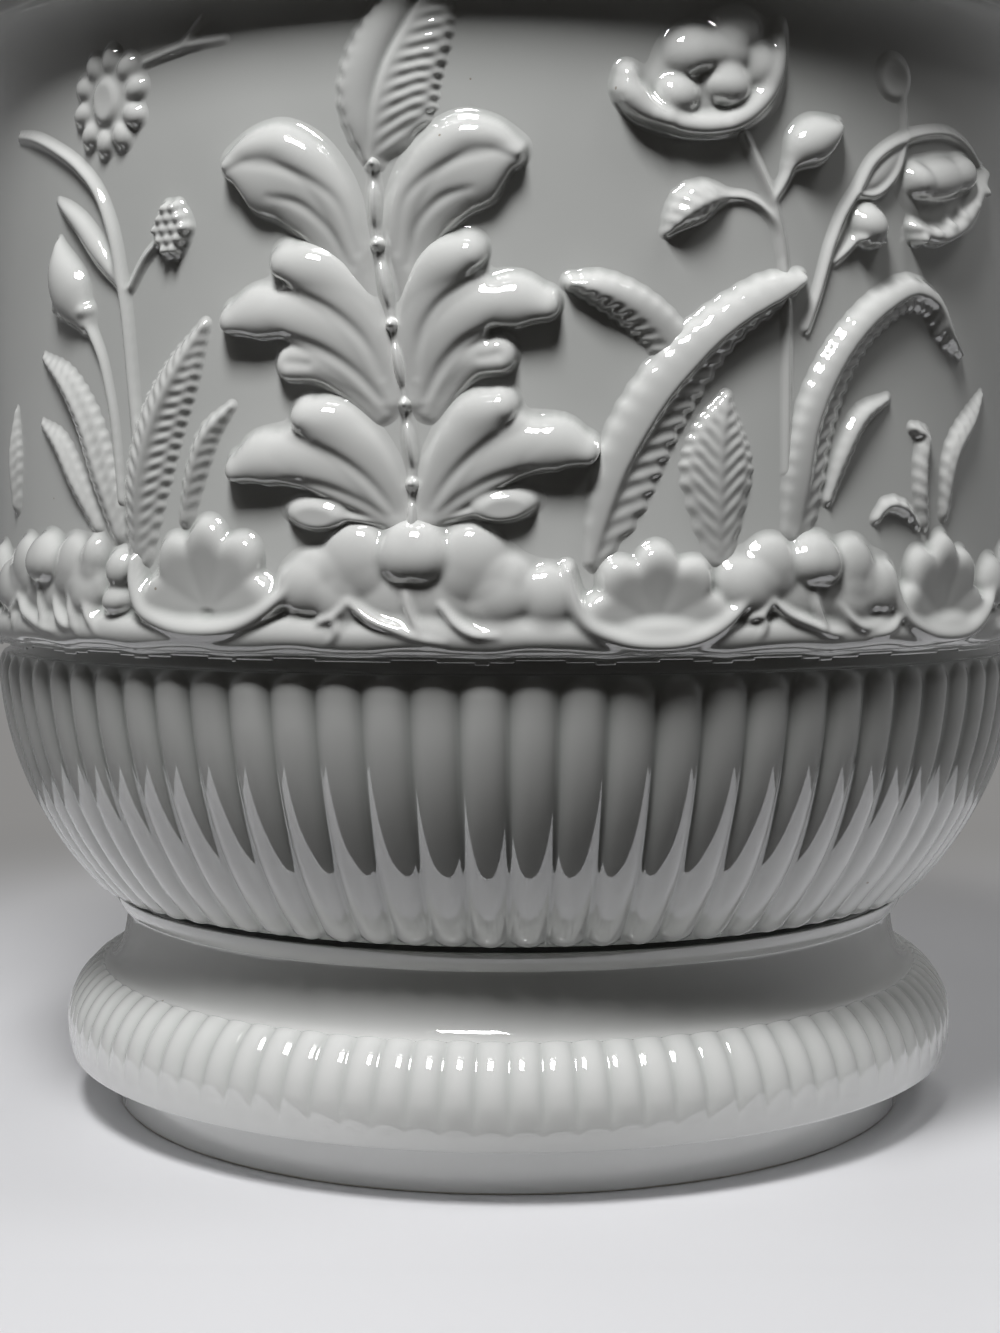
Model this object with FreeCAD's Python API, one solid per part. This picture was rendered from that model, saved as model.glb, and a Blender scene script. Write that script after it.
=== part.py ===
import FreeCAD, Part
import math
import os

# A glazed porcelain flower pot that stands loose in its own round porcelain stand. The stand has a
# plain foot, a reeded roll, a cove and a collar that rings the pot's foot. The pot has a reeded
# bowl and a plain wall, and moulded plants are stuck on that wall with slip, in three like panels.
# Millimetres. The origin is on the table at the axis, +Z is up and the front faces -Y.

# What repeats round the axis
PANELS = 3
BOWL_REED_COUNT = 81
STAND_REED_COUNT = 99

# The radius that all the others follow
COLLAR_RADIUS = 114.0

# Stand, from the table up
FOOT_INSET = 0.5
FOOT_HEIGHT = 14.3
FOOT_LAND = 9.0
LIP_REACH = 12.5
ROLL_SWELL = 1.7
ROLL_TOP_REACH = 1.0
ROLL_HEIGHT = 25.7
ROLL_STEP = 1.2
ROLL_REED_RISE = 1.0
COVE_HEIGHT = 14.0
COLLAR_HEIGHT = 4.0
COLLAR_OVERHANG = 2.5
COLLAR_WALL = 6.0
SEAT_DEPTH = 8.0
SEAT_WIDTH = 12.0
DISH_DEPTH = 11.0
STAND_WALL = 7.0

# How the pot stands in the stand
SEAT_CLEARANCE = 1.5
BOWL_GAP = 3.2

# Pot, from its foot up
POT_FOOT_WIDTH = 8.0
POT_FLOOR = 8.0
FLOOR_RISE = 6.0
DRAIN_RADIUS = 10.0
BOWL_HEIGHT = 66.0
BOWL_FOOT_REACH = 0.7
BOWL_INSET = 1.9
BOWL_REED_RISE = 1.7
BOWL_WALL = 6.0
GROOVE_HEIGHT = 4.0
GROOVE_DEPTH = 2.0
LEDGE_SWELL = 3.0
LEDGE_HEIGHT = 8.0
WALL_REACH = 33.0
WALL_HEIGHT = 131.0
FLARE_HEIGHT = 12.0
RIM_REACH = 13.5
RIM_UNDERCUT = 3.5
RIM_HEIGHT = 17.0
RIM_CROWN = 7.5
RIM_LIP_DEPTH = 11.0

# Plants stuck on the wall
SLIP_GAP = 0.08
RELIEF_DEPTH = 20.0
SUNK = 1.5
RELIEF_RISE = 5.0

# Shares along a curve, of its length, and of a reed's rise there
ROLL_WIDEST_SHARE = 0.32
ROLL_REED_SHARES = (
    (0.0, 0.0), (0.13, 0.0), (0.27, 0.25), (0.42, 0.7), (0.58, 0.95), (0.74, 1.0), (0.88, 0.85), (1.0, 0.0),
)
BOWL_REED_SHARES = (
    (0.0, 0.0), (0.04, 0.75), (0.12, 1.0), (0.25, 1.0), (0.4, 1.0), (0.55, 1.0),
    (0.7, 1.0), (0.82, 1.0), (0.92, 1.0), (0.97, 0.75), (1.0, 0.0),
)
QUARTER_SHARES = (1.0 - math.sqrt(0.5), math.sqrt(0.5))

# A leaf's width, of its panel's width and of the wall's height: the smaller one holds
LEAF_ACROSS_SHARE = 0.065
LEAF_UP_SHARE = 0.1528

CIRCLE = 360.0
ORIGIN = FreeCAD.Vector(0, 0, 0)
UP = FreeCAD.Vector(0, 0, 1)

# Heights that follow
ROLL_TOP = FOOT_HEIGHT + ROLL_HEIGHT
COLLAR_FOOT = ROLL_TOP + COVE_HEIGHT
STAND_TOP = COLLAR_FOOT + COLLAR_HEIGHT
SEAT = STAND_TOP - SEAT_DEPTH
DISH_FLOOR = SEAT - DISH_DEPTH
BOWL_FOOT = STAND_TOP + BOWL_GAP
BOWL_TOP = BOWL_FOOT + BOWL_HEIGHT
LEDGE_FOOT = BOWL_TOP + GROOVE_HEIGHT
FIELD_FOOT = LEDGE_FOOT + LEDGE_HEIGHT
FIELD_TOP = FIELD_FOOT + WALL_HEIGHT
RIM_FOOT = FIELD_TOP + FLARE_HEIGHT
POT_TOP = RIM_FOOT + RIM_HEIGHT

# Radii that follow
FOOT_RADIUS = COLLAR_RADIUS - FOOT_INSET
ROLL_LIP_RADIUS = COLLAR_RADIUS + LIP_REACH
ROLL_RADIUS = ROLL_LIP_RADIUS + ROLL_SWELL
ROLL_TOP_RADIUS = COLLAR_RADIUS + ROLL_TOP_REACH
COLLAR_BORE = COLLAR_RADIUS - COLLAR_WALL
POT_FOOT_RADIUS = COLLAR_BORE - SEAT_CLEARANCE
WALL_RADIUS = COLLAR_RADIUS + WALL_REACH
LEDGE_RADIUS = WALL_RADIUS + LEDGE_SWELL
RIM_RADIUS = WALL_RADIUS + RIM_REACH

# The bowl's round profile between its reeds: upright at its top, and down to its foot
BOWL_FOOT_RADIUS = COLLAR_RADIUS + BOWL_FOOT_REACH
BOWL_RADIUS = WALL_RADIUS - BOWL_INSET - BOWL_REED_RISE
BOWL_SWELL = BOWL_RADIUS - BOWL_FOOT_RADIUS
BOWL_ARC = (BOWL_SWELL**2 + BOWL_HEIGHT**2) / (2 * BOWL_SWELL)
BOWL_CENTRE = BOWL_RADIUS - BOWL_ARC
INNER_ARC = BOWL_ARC - BOWL_WALL
INNER_RADIUS = BOWL_CENTRE + INNER_ARC

# Widths that follow
PANEL_WIDTH = 2 * math.pi * WALL_RADIUS / PANELS
LEAF_WIDTH = min(LEAF_ACROSS_SHARE * PANEL_WIDTH, LEAF_UP_SHARE * WALL_HEIGHT)


def at(radius, height, angle=0.0):
    """A point at a radius and a height, turned from the front towards +X by an angle in radians."""
    return FreeCAD.Vector(radius * math.sin(angle), -radius * math.cos(angle), height)


def outline(start, *steps):
    """Edges in the front half plane, where a step is a point, or the middle and end of an arc."""
    edges = []
    here = at(*start)
    for step in steps:
        if isinstance(step[0], tuple):
            middle, end = step
            edges.append(Part.Arc(here, at(*middle), at(*end)).toShape())
        else:
            end = step
            edges.append(Part.LineSegment(here, at(*end)).toShape())
        here = at(*end)
    return edges


def spun(edges):
    """The faces that edges of an outline sweep round the axis."""
    return [edge.revolve(ORIGIN, UP, CIRCLE) for edge in edges]


def turned(shape, angle):
    """A copy turned round the axis by an angle in degrees."""
    copy = shape.copy()
    copy.rotate(ORIGIN, UP, angle)
    return copy


def quarter(start, end):
    """The middle of a round quarter that leaves start upright and reaches end level."""
    across, along = QUARTER_SHARES
    return (start[0] + across * (end[0] - start[0]), start[1] + along * (end[1] - start[1]))


def reed_arcs(profile, count, rise, shares):
    """Cross arcs of one reed along a round profile, each from groove to groove over the crest."""
    half = math.pi / count
    centre = profile.Curve.Center
    first, last = profile.ParameterRange
    arcs = []
    for along, height in shares:
        base = profile.valueAt(first + along * (last - first))
        crest = base + (base - centre).normalize() * (rise * height)
        left = at(-base.y, base.z, -half)
        right = at(-base.y, base.z, half)
        arcs.append(Part.Arc(left, crest, right).toShape())
    return arcs


def reeded(profile, count, rise, shares):
    """A row of reeds round the axis, with the arcs at its first and last ends."""
    arcs = reed_arcs(profile, count, rise, shares)
    reed = Part.makeLoft([Part.Wire(arc) for arc in arcs]).Faces[0]
    pitch = CIRCLE / count
    faces = [turned(reed, pitch * place) for place in range(count)]
    return faces, arcs[0], arcs[-1]


def end_ring(arc, count, radius):
    """The flat ring between the ends of a row of reeds and a circle."""
    pitch = CIRCLE / count
    ends = Part.Wire([turned(arc, pitch * place) for place in range(count)])
    circle = Part.makeCircle(radius, UP * arc.Vertexes[0].Z)
    circle.rotate(ORIGIN, UP, -CIRCLE / 4)
    return Part.makeFace([ends, Part.Wire(circle)], "Part::FaceMakerBullseye")


def closed(faces):
    """The solid inside a closed set of faces."""
    solid = Part.Solid(Part.Shell(faces))
    if solid.Volume < 0:
        solid.reverse()
    return solid


def stand():
    """The stand: hollow below, with a dish above that has a seat for the pot's foot ring."""
    widest = FOOT_HEIGHT + ROLL_WIDEST_SHARE * ROLL_HEIGHT
    roll = outline(
        (ROLL_LIP_RADIUS, FOOT_HEIGHT),
        ((ROLL_RADIUS - ROLL_REED_RISE, widest), (ROLL_TOP_RADIUS, ROLL_TOP)),
    )[0]
    reeds, lip_arc, top_arc = reeded(roll, STAND_REED_COUNT, ROLL_REED_RISE, ROLL_REED_SHARES)
    cove_foot = (ROLL_TOP_RADIUS - ROLL_STEP, ROLL_TOP)
    neck = (COLLAR_RADIUS - COLLAR_OVERHANG, COLLAR_FOOT)
    upper = outline(
        cove_foot,
        (quarter(neck, cove_foot), neck),
        (COLLAR_RADIUS, COLLAR_FOOT),
        (COLLAR_RADIUS, STAND_TOP),
        (COLLAR_BORE, STAND_TOP),
        (COLLAR_BORE, SEAT),
        (COLLAR_BORE - SEAT_WIDTH, SEAT),
        (COLLAR_BORE - SEAT_WIDTH, DISH_FLOOR),
        (0, DISH_FLOOR),
    )
    land = FOOT_RADIUS - FOOT_LAND
    hollow_top = DISH_FLOOR - STAND_WALL
    lower = outline(
        (0, hollow_top),
        (land, hollow_top),
        (land, 0),
        (FOOT_RADIUS, 0),
        (FOOT_RADIUS, FOOT_HEIGHT),
    )
    rings = [
        end_ring(lip_arc, STAND_REED_COUNT, FOOT_RADIUS),
        end_ring(top_arc, STAND_REED_COUNT, cove_foot[0]),
    ]
    return closed(reeds + rings + spun(upper) + spun(lower))


def pot():
    """The pot: foot ring, floor with a drain hole, reeded bowl, groove, ledge, wall and rim."""
    floor = BOWL_FOOT + FLOOR_RISE
    under = floor - POT_FLOOR
    floor_radius = BOWL_CENTRE + math.sqrt(INNER_ARC**2 - (BOWL_TOP - floor) ** 2)
    lean = math.asin(BOWL_HEIGHT / BOWL_ARC)
    bowl = outline(
        bowl_point(BOWL_ARC, lean),
        (bowl_point(BOWL_ARC, lean / 2), bowl_point(BOWL_ARC, 0)),
    )[0]
    reeds, foot_arc, top_arc = reeded(bowl, BOWL_REED_COUNT, BOWL_REED_RISE, BOWL_REED_SHARES)
    groove = BOWL_RADIUS - GROOVE_DEPTH
    wall_top = (WALL_RADIUS, FIELD_TOP)
    flare_end = (RIM_RADIUS - RIM_UNDERCUT, RIM_FOOT)
    crown = (RIM_RADIUS - RIM_CROWN, POT_TOP)
    lip = (crown[0] - RIM_CROWN, POT_TOP - RIM_LIP_DEPTH)
    outer = outline(
        (groove, BOWL_TOP),
        (groove, LEDGE_FOOT),
        (WALL_RADIUS, LEDGE_FOOT),
        ((LEDGE_RADIUS, (LEDGE_FOOT + FIELD_FOOT) / 2), (WALL_RADIUS, FIELD_FOOT)),
        wall_top,
        (quarter(wall_top, flare_end), flare_end),
        ((RIM_RADIUS, (RIM_FOOT + POT_TOP) / 2), crown),
        (quarter(lip, crown), lip),
        (INNER_RADIUS, FIELD_TOP),
        (INNER_RADIUS, BOWL_TOP),
    )
    slope = math.asin((BOWL_TOP - floor) / INNER_ARC)
    inner = outline(
        (INNER_RADIUS, BOWL_TOP),
        (bowl_point(INNER_ARC, slope / 2), (floor_radius, floor)),
        (DRAIN_RADIUS, floor),
        (DRAIN_RADIUS, under),
        (POT_FOOT_RADIUS - POT_FOOT_WIDTH, under),
        (POT_FOOT_RADIUS - POT_FOOT_WIDTH, SEAT),
        (POT_FOOT_RADIUS, SEAT),
        (POT_FOOT_RADIUS, BOWL_FOOT),
    )
    rings = [
        end_ring(foot_arc, BOWL_REED_COUNT, POT_FOOT_RADIUS),
        end_ring(top_arc, BOWL_REED_COUNT, groove),
    ]
    return closed(reeds + rings + spun(outer) + spun(inner))


def bowl_point(arc, lean):
    """A point on one of the bowl's round profiles, by its angle below the bowl's top."""
    return (BOWL_CENTRE + arc * math.cos(lean), BOWL_TOP - arc * math.sin(lean))


# Plants of one panel. Each ridge is a row of (across, up, half width, rise): shares of the panel's
# width from its middle, of the wall's height from its foot, of LEAF_WIDTH and of RELIEF_RISE.
STEM_FOOT_SHARE = 0.18
STEM_TOP_SHARE = 0.755
STEM_PLACE_SHARE = -0.069
STEM_LEAN_SHARE = -0.047
STEM_HALF_WIDTH_SHARE = 0.1
STEM_RISE_SHARE = 0.7
STEM_STATIONS = 5
PLUME_RIDGE_SHARES = (
    (-0.096, 0.777, 0.15, 0.5), (-0.093, 0.846, 0.5, 0.8),
    (-0.08, 0.93, 0.45, 0.8), (-0.068, 0.99, 0.1, 0.5),
)
# Leaves, by their distance from the stem. Those to its right mirror those to its left.
UPPER_LEAF_SHARES = (
    ((0.025, 0.67, 0.13, 0.4), (0.047, 0.77, 0.38, 0.8), (0.083, 0.8, 0.35, 1.0), (0.122, 0.77, 0.1, 0.6)),
)
MIDDLE_LEAF_SHARES = (
    ((0.018, 0.41, 0.12, 0.4), (0.04, 0.53, 0.3, 0.8), (0.062, 0.6, 0.3, 1.0), (0.085, 0.62, 0.1, 0.6)),
    ((0.018, 0.4, 0.12, 0.4), (0.05, 0.475, 0.26, 0.8), (0.1, 0.515, 0.26, 1.0), (0.138, 0.512, 0.1, 0.6)),
    ((0.018, 0.39, 0.1, 0.3), (0.04, 0.42, 0.17, 0.6), (0.07, 0.442, 0.18, 0.7), (0.092, 0.445, 0.1, 0.5)),
)
LOWER_LEAF_SHARES = (
    ((0.018, 0.2, 0.12, 0.4), (0.037, 0.28, 0.27, 0.8), (0.06, 0.33, 0.27, 1.0), (0.079, 0.35, 0.1, 0.6)),
    ((0.018, 0.19, 0.12, 0.4), (0.05, 0.238, 0.26, 0.8), (0.088, 0.26, 0.26, 1.0), (0.118, 0.255, 0.1, 0.6)),
    ((0.022, 0.185, 0.08, 0.3), (0.05, 0.187, 0.13, 0.5), (0.08, 0.186, 0.17, 0.7), (0.1, 0.19, 0.08, 0.5)),
)
PALM_RIDGE_SHARES = (
    (0.063, 0.16, 0.22, 0.5), (0.083, 0.245, 0.4, 0.8), (0.115, 0.363, 0.4, 0.9),
    (0.153, 0.502, 0.35, 0.9), (0.188, 0.565, 0.25, 0.8), (0.218, 0.592, 0.08, 0.5),
)
ARCHED_RIDGE_SHARES = ((0.105, 0.53, 0.22, 0.5), (0.08, 0.552, 0.25, 0.7), (0.045, 0.578, 0.1, 0.5))
BROAD_FERN_SHARES = (
    (0.158, 0.165, 0.22, 0.4), (0.158, 0.25, 0.4, 0.6),
    (0.158, 0.335, 0.28, 0.6), (0.158, 0.385, 0.08, 0.4),
)
DROOPING_RIDGE_SHARES = (
    (0.201, 0.18, 0.18, 0.5), (0.221, 0.327, 0.28, 0.8), (0.25, 0.46, 0.3, 0.9),
    (0.292, 0.556, 0.3, 0.9), (0.338, 0.595, 0.25, 0.8), (0.372, 0.567, 0.2, 0.7),
    (0.393, 0.487, 0.08, 0.4),
)
ROSE_RIDGE_SHARES = (
    (0.136, 0.82, 0.3, 0.5), (0.136, 0.865, 0.8, 1.0),
    (0.136, 0.93, 0.9, 1.0), (0.136, 0.985, 0.55, 0.5),
)
ROSE_STEM_SHARES = (
    ((0.2, 0.4, 0.05, 0.3), (0.203, 0.45, 0.05, 0.4), (0.205, 0.5, 0.05, 0.3)),
    (
        (0.206, 0.645, 0.06, 0.3), (0.203, 0.67, 0.06, 0.4),
        (0.195, 0.71, 0.06, 0.4), (0.178, 0.78, 0.06, 0.3),
    ),
    (
        (0.196, 0.69, 0.05, 0.3), (0.17, 0.716, 0.1, 0.5),
        (0.143, 0.71, 0.3, 0.7), (0.114, 0.656, 0.08, 0.4),
    ),
    (
        (0.196, 0.69, 0.06, 0.3), (0.222, 0.78, 0.08, 0.5),
        (0.241, 0.845, 0.32, 1.0), (0.256, 0.88, 0.1, 0.5),
    ),
)
BELL_STEM_SHARES = (
    (
        (0.229, 0.51, 0.06, 0.3), (0.234, 0.58, 0.06, 0.4), (0.253, 0.68, 0.06, 0.4),
        (0.276, 0.762, 0.06, 0.4), (0.32, 0.85, 0.06, 0.4), (0.357, 0.876, 0.06, 0.4),
        (0.386, 0.845, 0.08, 0.4),
    ),
    ((0.384, 0.86, 0.12, 0.4), (0.392, 0.79, 0.42, 0.9), (0.396, 0.73, 0.5, 0.8)),
    ((0.285, 0.65, 0.1, 0.4), (0.285, 0.69, 0.24, 0.9), (0.285, 0.73, 0.1, 0.4)),
    ((0.31, 0.91, 0.1, 0.3), (0.31, 0.945, 0.22, 0.6), (0.31, 0.98, 0.1, 0.3)),
)
DAISY_PLACE_SHARES = (-0.324, 0.905)
DAISY_PETALS = 8
DAISY_PETAL_SHARES = ((0.3, 0.1, 0.3), (0.5, 0.17, 0.7), (0.68, 0.09, 0.4))
DAISY_EYE_SHARES = ((-0.2, 0.08, 0.3), (0.0, 0.2, 0.8), (0.2, 0.08, 0.3))
BERRY_STEM_SHARES = (
    (
        (-0.302, 0.36, 0.07, 0.4), (-0.307, 0.553, 0.06, 0.4), (-0.324, 0.724, 0.06, 0.4),
        (-0.353, 0.804, 0.06, 0.4), (-0.407, 0.874, 0.06, 0.4), (-0.458, 0.893, 0.06, 0.3),
    ),
    ((-0.305, 0.575, 0.05, 0.3), (-0.285, 0.62, 0.05, 0.3), (-0.272, 0.64, 0.06, 0.3)),
    ((-0.26, 0.625, 0.12, 0.4), (-0.26, 0.672, 0.3, 0.9), (-0.26, 0.72, 0.12, 0.4)),
    ((-0.341, 0.507, 0.08, 0.4), (-0.368, 0.588, 0.24, 0.8), (-0.399, 0.68, 0.08, 0.4)),
)
FERN_SHARES = (
    (
        (-0.334, 0.175, 0.15, 0.4), (-0.364, 0.296, 0.26, 0.6),
        (-0.393, 0.411, 0.24, 0.6), (-0.418, 0.479, 0.08, 0.4),
    ),
    ((-0.351, 0.185, 0.12, 0.4), (-0.39, 0.266, 0.18, 0.5), (-0.421, 0.357, 0.08, 0.3)),
    (
        (-0.302, 0.14, 0.2, 0.4), (-0.29, 0.235, 0.33, 0.7), (-0.269, 0.327, 0.36, 0.8),
        (-0.247, 0.433, 0.27, 0.7), (-0.231, 0.505, 0.08, 0.4),
    ),
    ((-0.25, 0.2, 0.1, 0.3), (-0.235, 0.285, 0.16, 0.5), (-0.216, 0.365, 0.06, 0.3)),
    ((-0.478, 0.228, 0.12, 0.3), (-0.478, 0.3, 0.2, 0.5), (-0.476, 0.378, 0.06, 0.3)),
    ((0.351, 0.18, 0.12, 0.3), (0.341, 0.266, 0.18, 0.5), (0.325, 0.344, 0.06, 0.3)),
    ((0.404, 0.19, 0.12, 0.3), (0.404, 0.3, 0.3, 0.6), (0.403, 0.41, 0.06, 0.3)),
)
BANK_REACH_SHARE = 0.498
BANK_UP_SHARE = 0.04
BANK_HALF_WIDTH_SHARE = 0.32
BANK_RISE_SHARE = 0.6
BANK_STATIONS = 9
KNOLL_PLACE_SHARES = (-0.44, -0.3, -0.15, 0.02, 0.175, 0.3, 0.45)
KNOLL_SHARES = ((0.0, 0.4, 0.4), (0.045, 0.7, 0.8), (0.08, 0.55, 0.7), (0.105, 0.2, 0.3))
SHELL_PLACE_SHARES = (-0.229, 0.107, 0.364)
SHELL_SHARES = ((0.005, 0.3, 0.4), (0.06, 0.75, 0.9), (0.115, 0.9, 0.8), (0.15, 0.5, 0.3))
ROSETTE_PLACE_SHARES = (-0.383, -0.068, 0.239)
ROSETTE_SHARES = ((0.015, 0.3, 0.4), (0.07, 0.5, 1.0), (0.115, 0.42, 0.8), (0.145, 0.15, 0.3))


def on_wall(across, up, out):
    """A point by its distance along the wall from the panel's middle, its height on it and its rise."""
    return at(WALL_RADIUS + out, FIELD_FOOT + up, across / WALL_RADIUS)


def ridge(shares):
    """A raised lobe or stem: a loft through arched sections square to its path on the wall."""
    path = [(across * PANEL_WIDTH, up * WALL_HEIGHT) for across, up, width, rise in shares]
    return swept(path, [(width * LEAF_WIDTH, rise * RELIEF_RISE) for across, up, width, rise in shares])


def swept(path, sizes):
    """The loft of a ridge along a path of (across, up), with a half width and a rise at each place."""
    sections = []
    for place, ((across, up), (width, rise)) in enumerate(zip(path, sizes)):
        before = path[max(place - 1, 0)]
        after = path[min(place + 1, len(path) - 1)]
        run = math.hypot(after[0] - before[0], after[1] - before[1])
        side = (width * (before[1] - after[1]) / run, width * (after[0] - before[0]) / run)
        left = on_wall(across + side[0], up + side[1], -SUNK)
        right = on_wall(across - side[0], up - side[1], -SUNK)
        arch = Part.Arc(left, on_wall(across, up, rise), right).toShape()
        base = Part.LineSegment(right, left).toShape()
        sections.append(Part.Wire([arch, base]))
    return Part.makeLoft(sections, True)


def stem_across(up):
    """Where the leaning acanthus stem is at a height, both in shares."""
    return STEM_PLACE_SHARE + STEM_LEAN_SHARE * (up - STEM_FOOT_SHARE)


def stem():
    """The acanthus stem."""
    step = (STEM_TOP_SHARE - STEM_FOOT_SHARE) / (STEM_STATIONS - 1)
    heights = [STEM_FOOT_SHARE + step * station for station in range(STEM_STATIONS)]
    return ridge([(stem_across(up), up, STEM_HALF_WIDTH_SHARE, STEM_RISE_SHARE) for up in heights])


def leaf(shares, side):
    """The lobes of an acanthus leaf: side is -1 to the left of the stem and 1 to its right."""
    return [
        ridge([(stem_across(up) + side * away, up, width, rise) for away, up, width, rise in lobe])
        for lobe in shares
    ]


def heads(place_shares, shares):
    """Upright domed heads at places along the foot of the wall."""
    return [ridge([(place, up, width, rise) for up, width, rise in shares]) for place in place_shares]


def shell_border():
    """A low bank along the foot of the wall, with knolls, shells and rosettes on it."""
    step = 2 * BANK_REACH_SHARE / (BANK_STATIONS - 1)
    places = [step * station - BANK_REACH_SHARE for station in range(BANK_STATIONS)]
    bank = ridge([(place, BANK_UP_SHARE, BANK_HALF_WIDTH_SHARE, BANK_RISE_SHARE) for place in places])
    rows = (
        (KNOLL_PLACE_SHARES, KNOLL_SHARES),
        (SHELL_PLACE_SHARES, SHELL_SHARES),
        (ROSETTE_PLACE_SHARES, ROSETTE_SHARES),
    )
    return [bank] + [head for place_shares, shares in rows for head in heads(place_shares, shares)]


def daisy():
    """Petals round an eye."""
    across, up = DAISY_PLACE_SHARES
    centre = (across * PANEL_WIDTH, up * WALL_HEIGHT)
    petals = [flower_ridge(centre, math.radians(CIRCLE * turn / DAISY_PETALS), DAISY_PETAL_SHARES)
              for turn in range(DAISY_PETALS)]
    return petals + [flower_ridge(centre, math.radians(CIRCLE / 4), DAISY_EYE_SHARES)]


def flower_ridge(centre, angle, shares):
    """A ridge that points out from a flower's centre, its distances in shares of LEAF_WIDTH."""
    path = [
        (centre[0] + out * LEAF_WIDTH * math.cos(angle), centre[1] + out * LEAF_WIDTH * math.sin(angle))
        for out, width, rise in shares
    ]
    return swept(path, [(width * LEAF_WIDTH, rise * RELIEF_RISE) for out, width, rise in shares])


def sprigs():
    """The ridges of each sprig of one panel, by name."""
    return {
        "acanthus_stem": [stem()],
        "acanthus_plume": [ridge(PLUME_RIDGE_SHARES)],
        "upper_leaf_left": leaf(UPPER_LEAF_SHARES, -1),
        "upper_leaf_right": leaf(UPPER_LEAF_SHARES, 1),
        "middle_leaf_left": leaf(MIDDLE_LEAF_SHARES, -1),
        "middle_leaf_right": leaf(MIDDLE_LEAF_SHARES, 1),
        "lower_leaf_left": leaf(LOWER_LEAF_SHARES, -1),
        "lower_leaf_right": leaf(LOWER_LEAF_SHARES, 1),
        "palm_frond": [ridge(PALM_RIDGE_SHARES)],
        "arched_frond": [ridge(ARCHED_RIDGE_SHARES)],
        "broad_fern": [ridge(BROAD_FERN_SHARES)],
        "drooping_frond": [ridge(DROOPING_RIDGE_SHARES)],
        "rose": [ridge(ROSE_RIDGE_SHARES)],
        "rose_stem": [ridge(shares) for shares in ROSE_STEM_SHARES],
        "bell_stem": [ridge(shares) for shares in BELL_STEM_SHARES],
        "daisy": daisy(),
        "berry_stem": [ridge(shares) for shares in BERRY_STEM_SHARES],
        "ferns": [ridge(shares) for shares in FERN_SHARES],
        "shell_border": shell_border(),
    }


def seated(ridges):
    """Ridges joined where they meet, and cut to lie on the wall with the slip between."""
    foot = UP * FIELD_FOOT
    seat = WALL_RADIUS + SLIP_GAP
    space = Part.makeCylinder(seat + RELIEF_DEPTH, WALL_HEIGHT, foot)
    space = space.cut(Part.makeCylinder(seat, WALL_HEIGHT, foot))
    pieces = [each.common(space) for each in ridges]
    joined = pieces[0].multiFuse(pieces[1:]) if len(pieces) > 1 else pieces[0]
    return Part.Compound(joined.Solids)


def save(name, shape):
    """One node's solids, as one file."""
    shape.exportStep(os.path.join("parts", name + ".step"))


os.makedirs("parts", exist_ok=True)
save("stand", stand())
save("pot", pot())
for name, ridges in sprigs().items():
    sprig = seated(ridges)
    print(name, sprig.isValid(), len(sprig.Solids), round(sprig.Volume))
    for panel in range(PANELS):
        save(f"{name}_{panel + 1}", turned(sprig, CIRCLE * panel / PANELS))
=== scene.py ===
# %% [markdown]
# # A porcelain flower pot on its stand
# A white, glazed flower pot with moulded plants on its wall stands loose in a round porcelain
# stand. The construction model gives every piece its place and its size. This lesson gives the
# pieces their real surface: reeds with round ends, leaves with folds, and a thick bright glaze.

# %% Load the frame
import math

import bmesh
import bpy
import numpy as np
from mathutils import Matrix, Vector


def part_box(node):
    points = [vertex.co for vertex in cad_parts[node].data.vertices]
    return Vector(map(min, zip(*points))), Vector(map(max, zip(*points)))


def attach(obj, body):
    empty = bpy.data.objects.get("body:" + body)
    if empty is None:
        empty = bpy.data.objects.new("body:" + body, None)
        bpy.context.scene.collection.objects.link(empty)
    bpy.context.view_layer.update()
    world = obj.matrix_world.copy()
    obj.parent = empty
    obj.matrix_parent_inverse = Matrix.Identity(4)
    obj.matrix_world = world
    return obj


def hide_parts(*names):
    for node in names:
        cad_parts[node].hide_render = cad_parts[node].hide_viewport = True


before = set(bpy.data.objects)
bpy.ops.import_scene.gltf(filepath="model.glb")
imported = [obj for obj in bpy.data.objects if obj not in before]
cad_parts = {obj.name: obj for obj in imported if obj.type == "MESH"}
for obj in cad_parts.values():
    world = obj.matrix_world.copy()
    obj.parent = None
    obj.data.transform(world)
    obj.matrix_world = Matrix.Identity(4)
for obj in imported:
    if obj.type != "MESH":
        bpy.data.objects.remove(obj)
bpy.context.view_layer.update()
print("nodes in the frame:", len(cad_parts))

# %% [markdown]
# ## Measures
# Lengths are written in millimetres, as a potter would note them, and turned into metres where
# meshes are made. The frame gives the heights of the seat, the stand and the rim. The rest builds
# up from these, from the table to the rim.

# %% Measures of the stand and the pot
MM = 0.001
PANELS = 3
BOWL_REEDS = 81
STAND_REEDS = 99

STAND_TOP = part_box("stand")[1].z / MM
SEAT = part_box("pot")[0].z / MM
POT_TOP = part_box("pot")[1].z / MM
RIM_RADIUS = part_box("pot")[1].x / MM
FIELD_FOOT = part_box("shell_border_1")[0].z / MM

FOOT_RADIUS = 113.5
FOOT_HEIGHT = 14.3
FOOT_LAND = 9.0
LIP_RADIUS = 126.5
ROLL_RADIUS = 127.2
ROLL_TOP_RADIUS = 117.6
ROLL_TOP = STAND_TOP - 20.0
ROLL_WIDEST = FOOT_HEIGHT + 8.2
ROLL_REED_RISE = 1.0
COLLAR_RADIUS = 114.0
COLLAR_BORE = 108.0
COLLAR_FOOT = STAND_TOP - 4.0
NECK_RADIUS = 110.6
DISH_RADIUS = 96.0
DISH_FLOOR = SEAT - 11.0
STAND_WALL = 7.0

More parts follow.
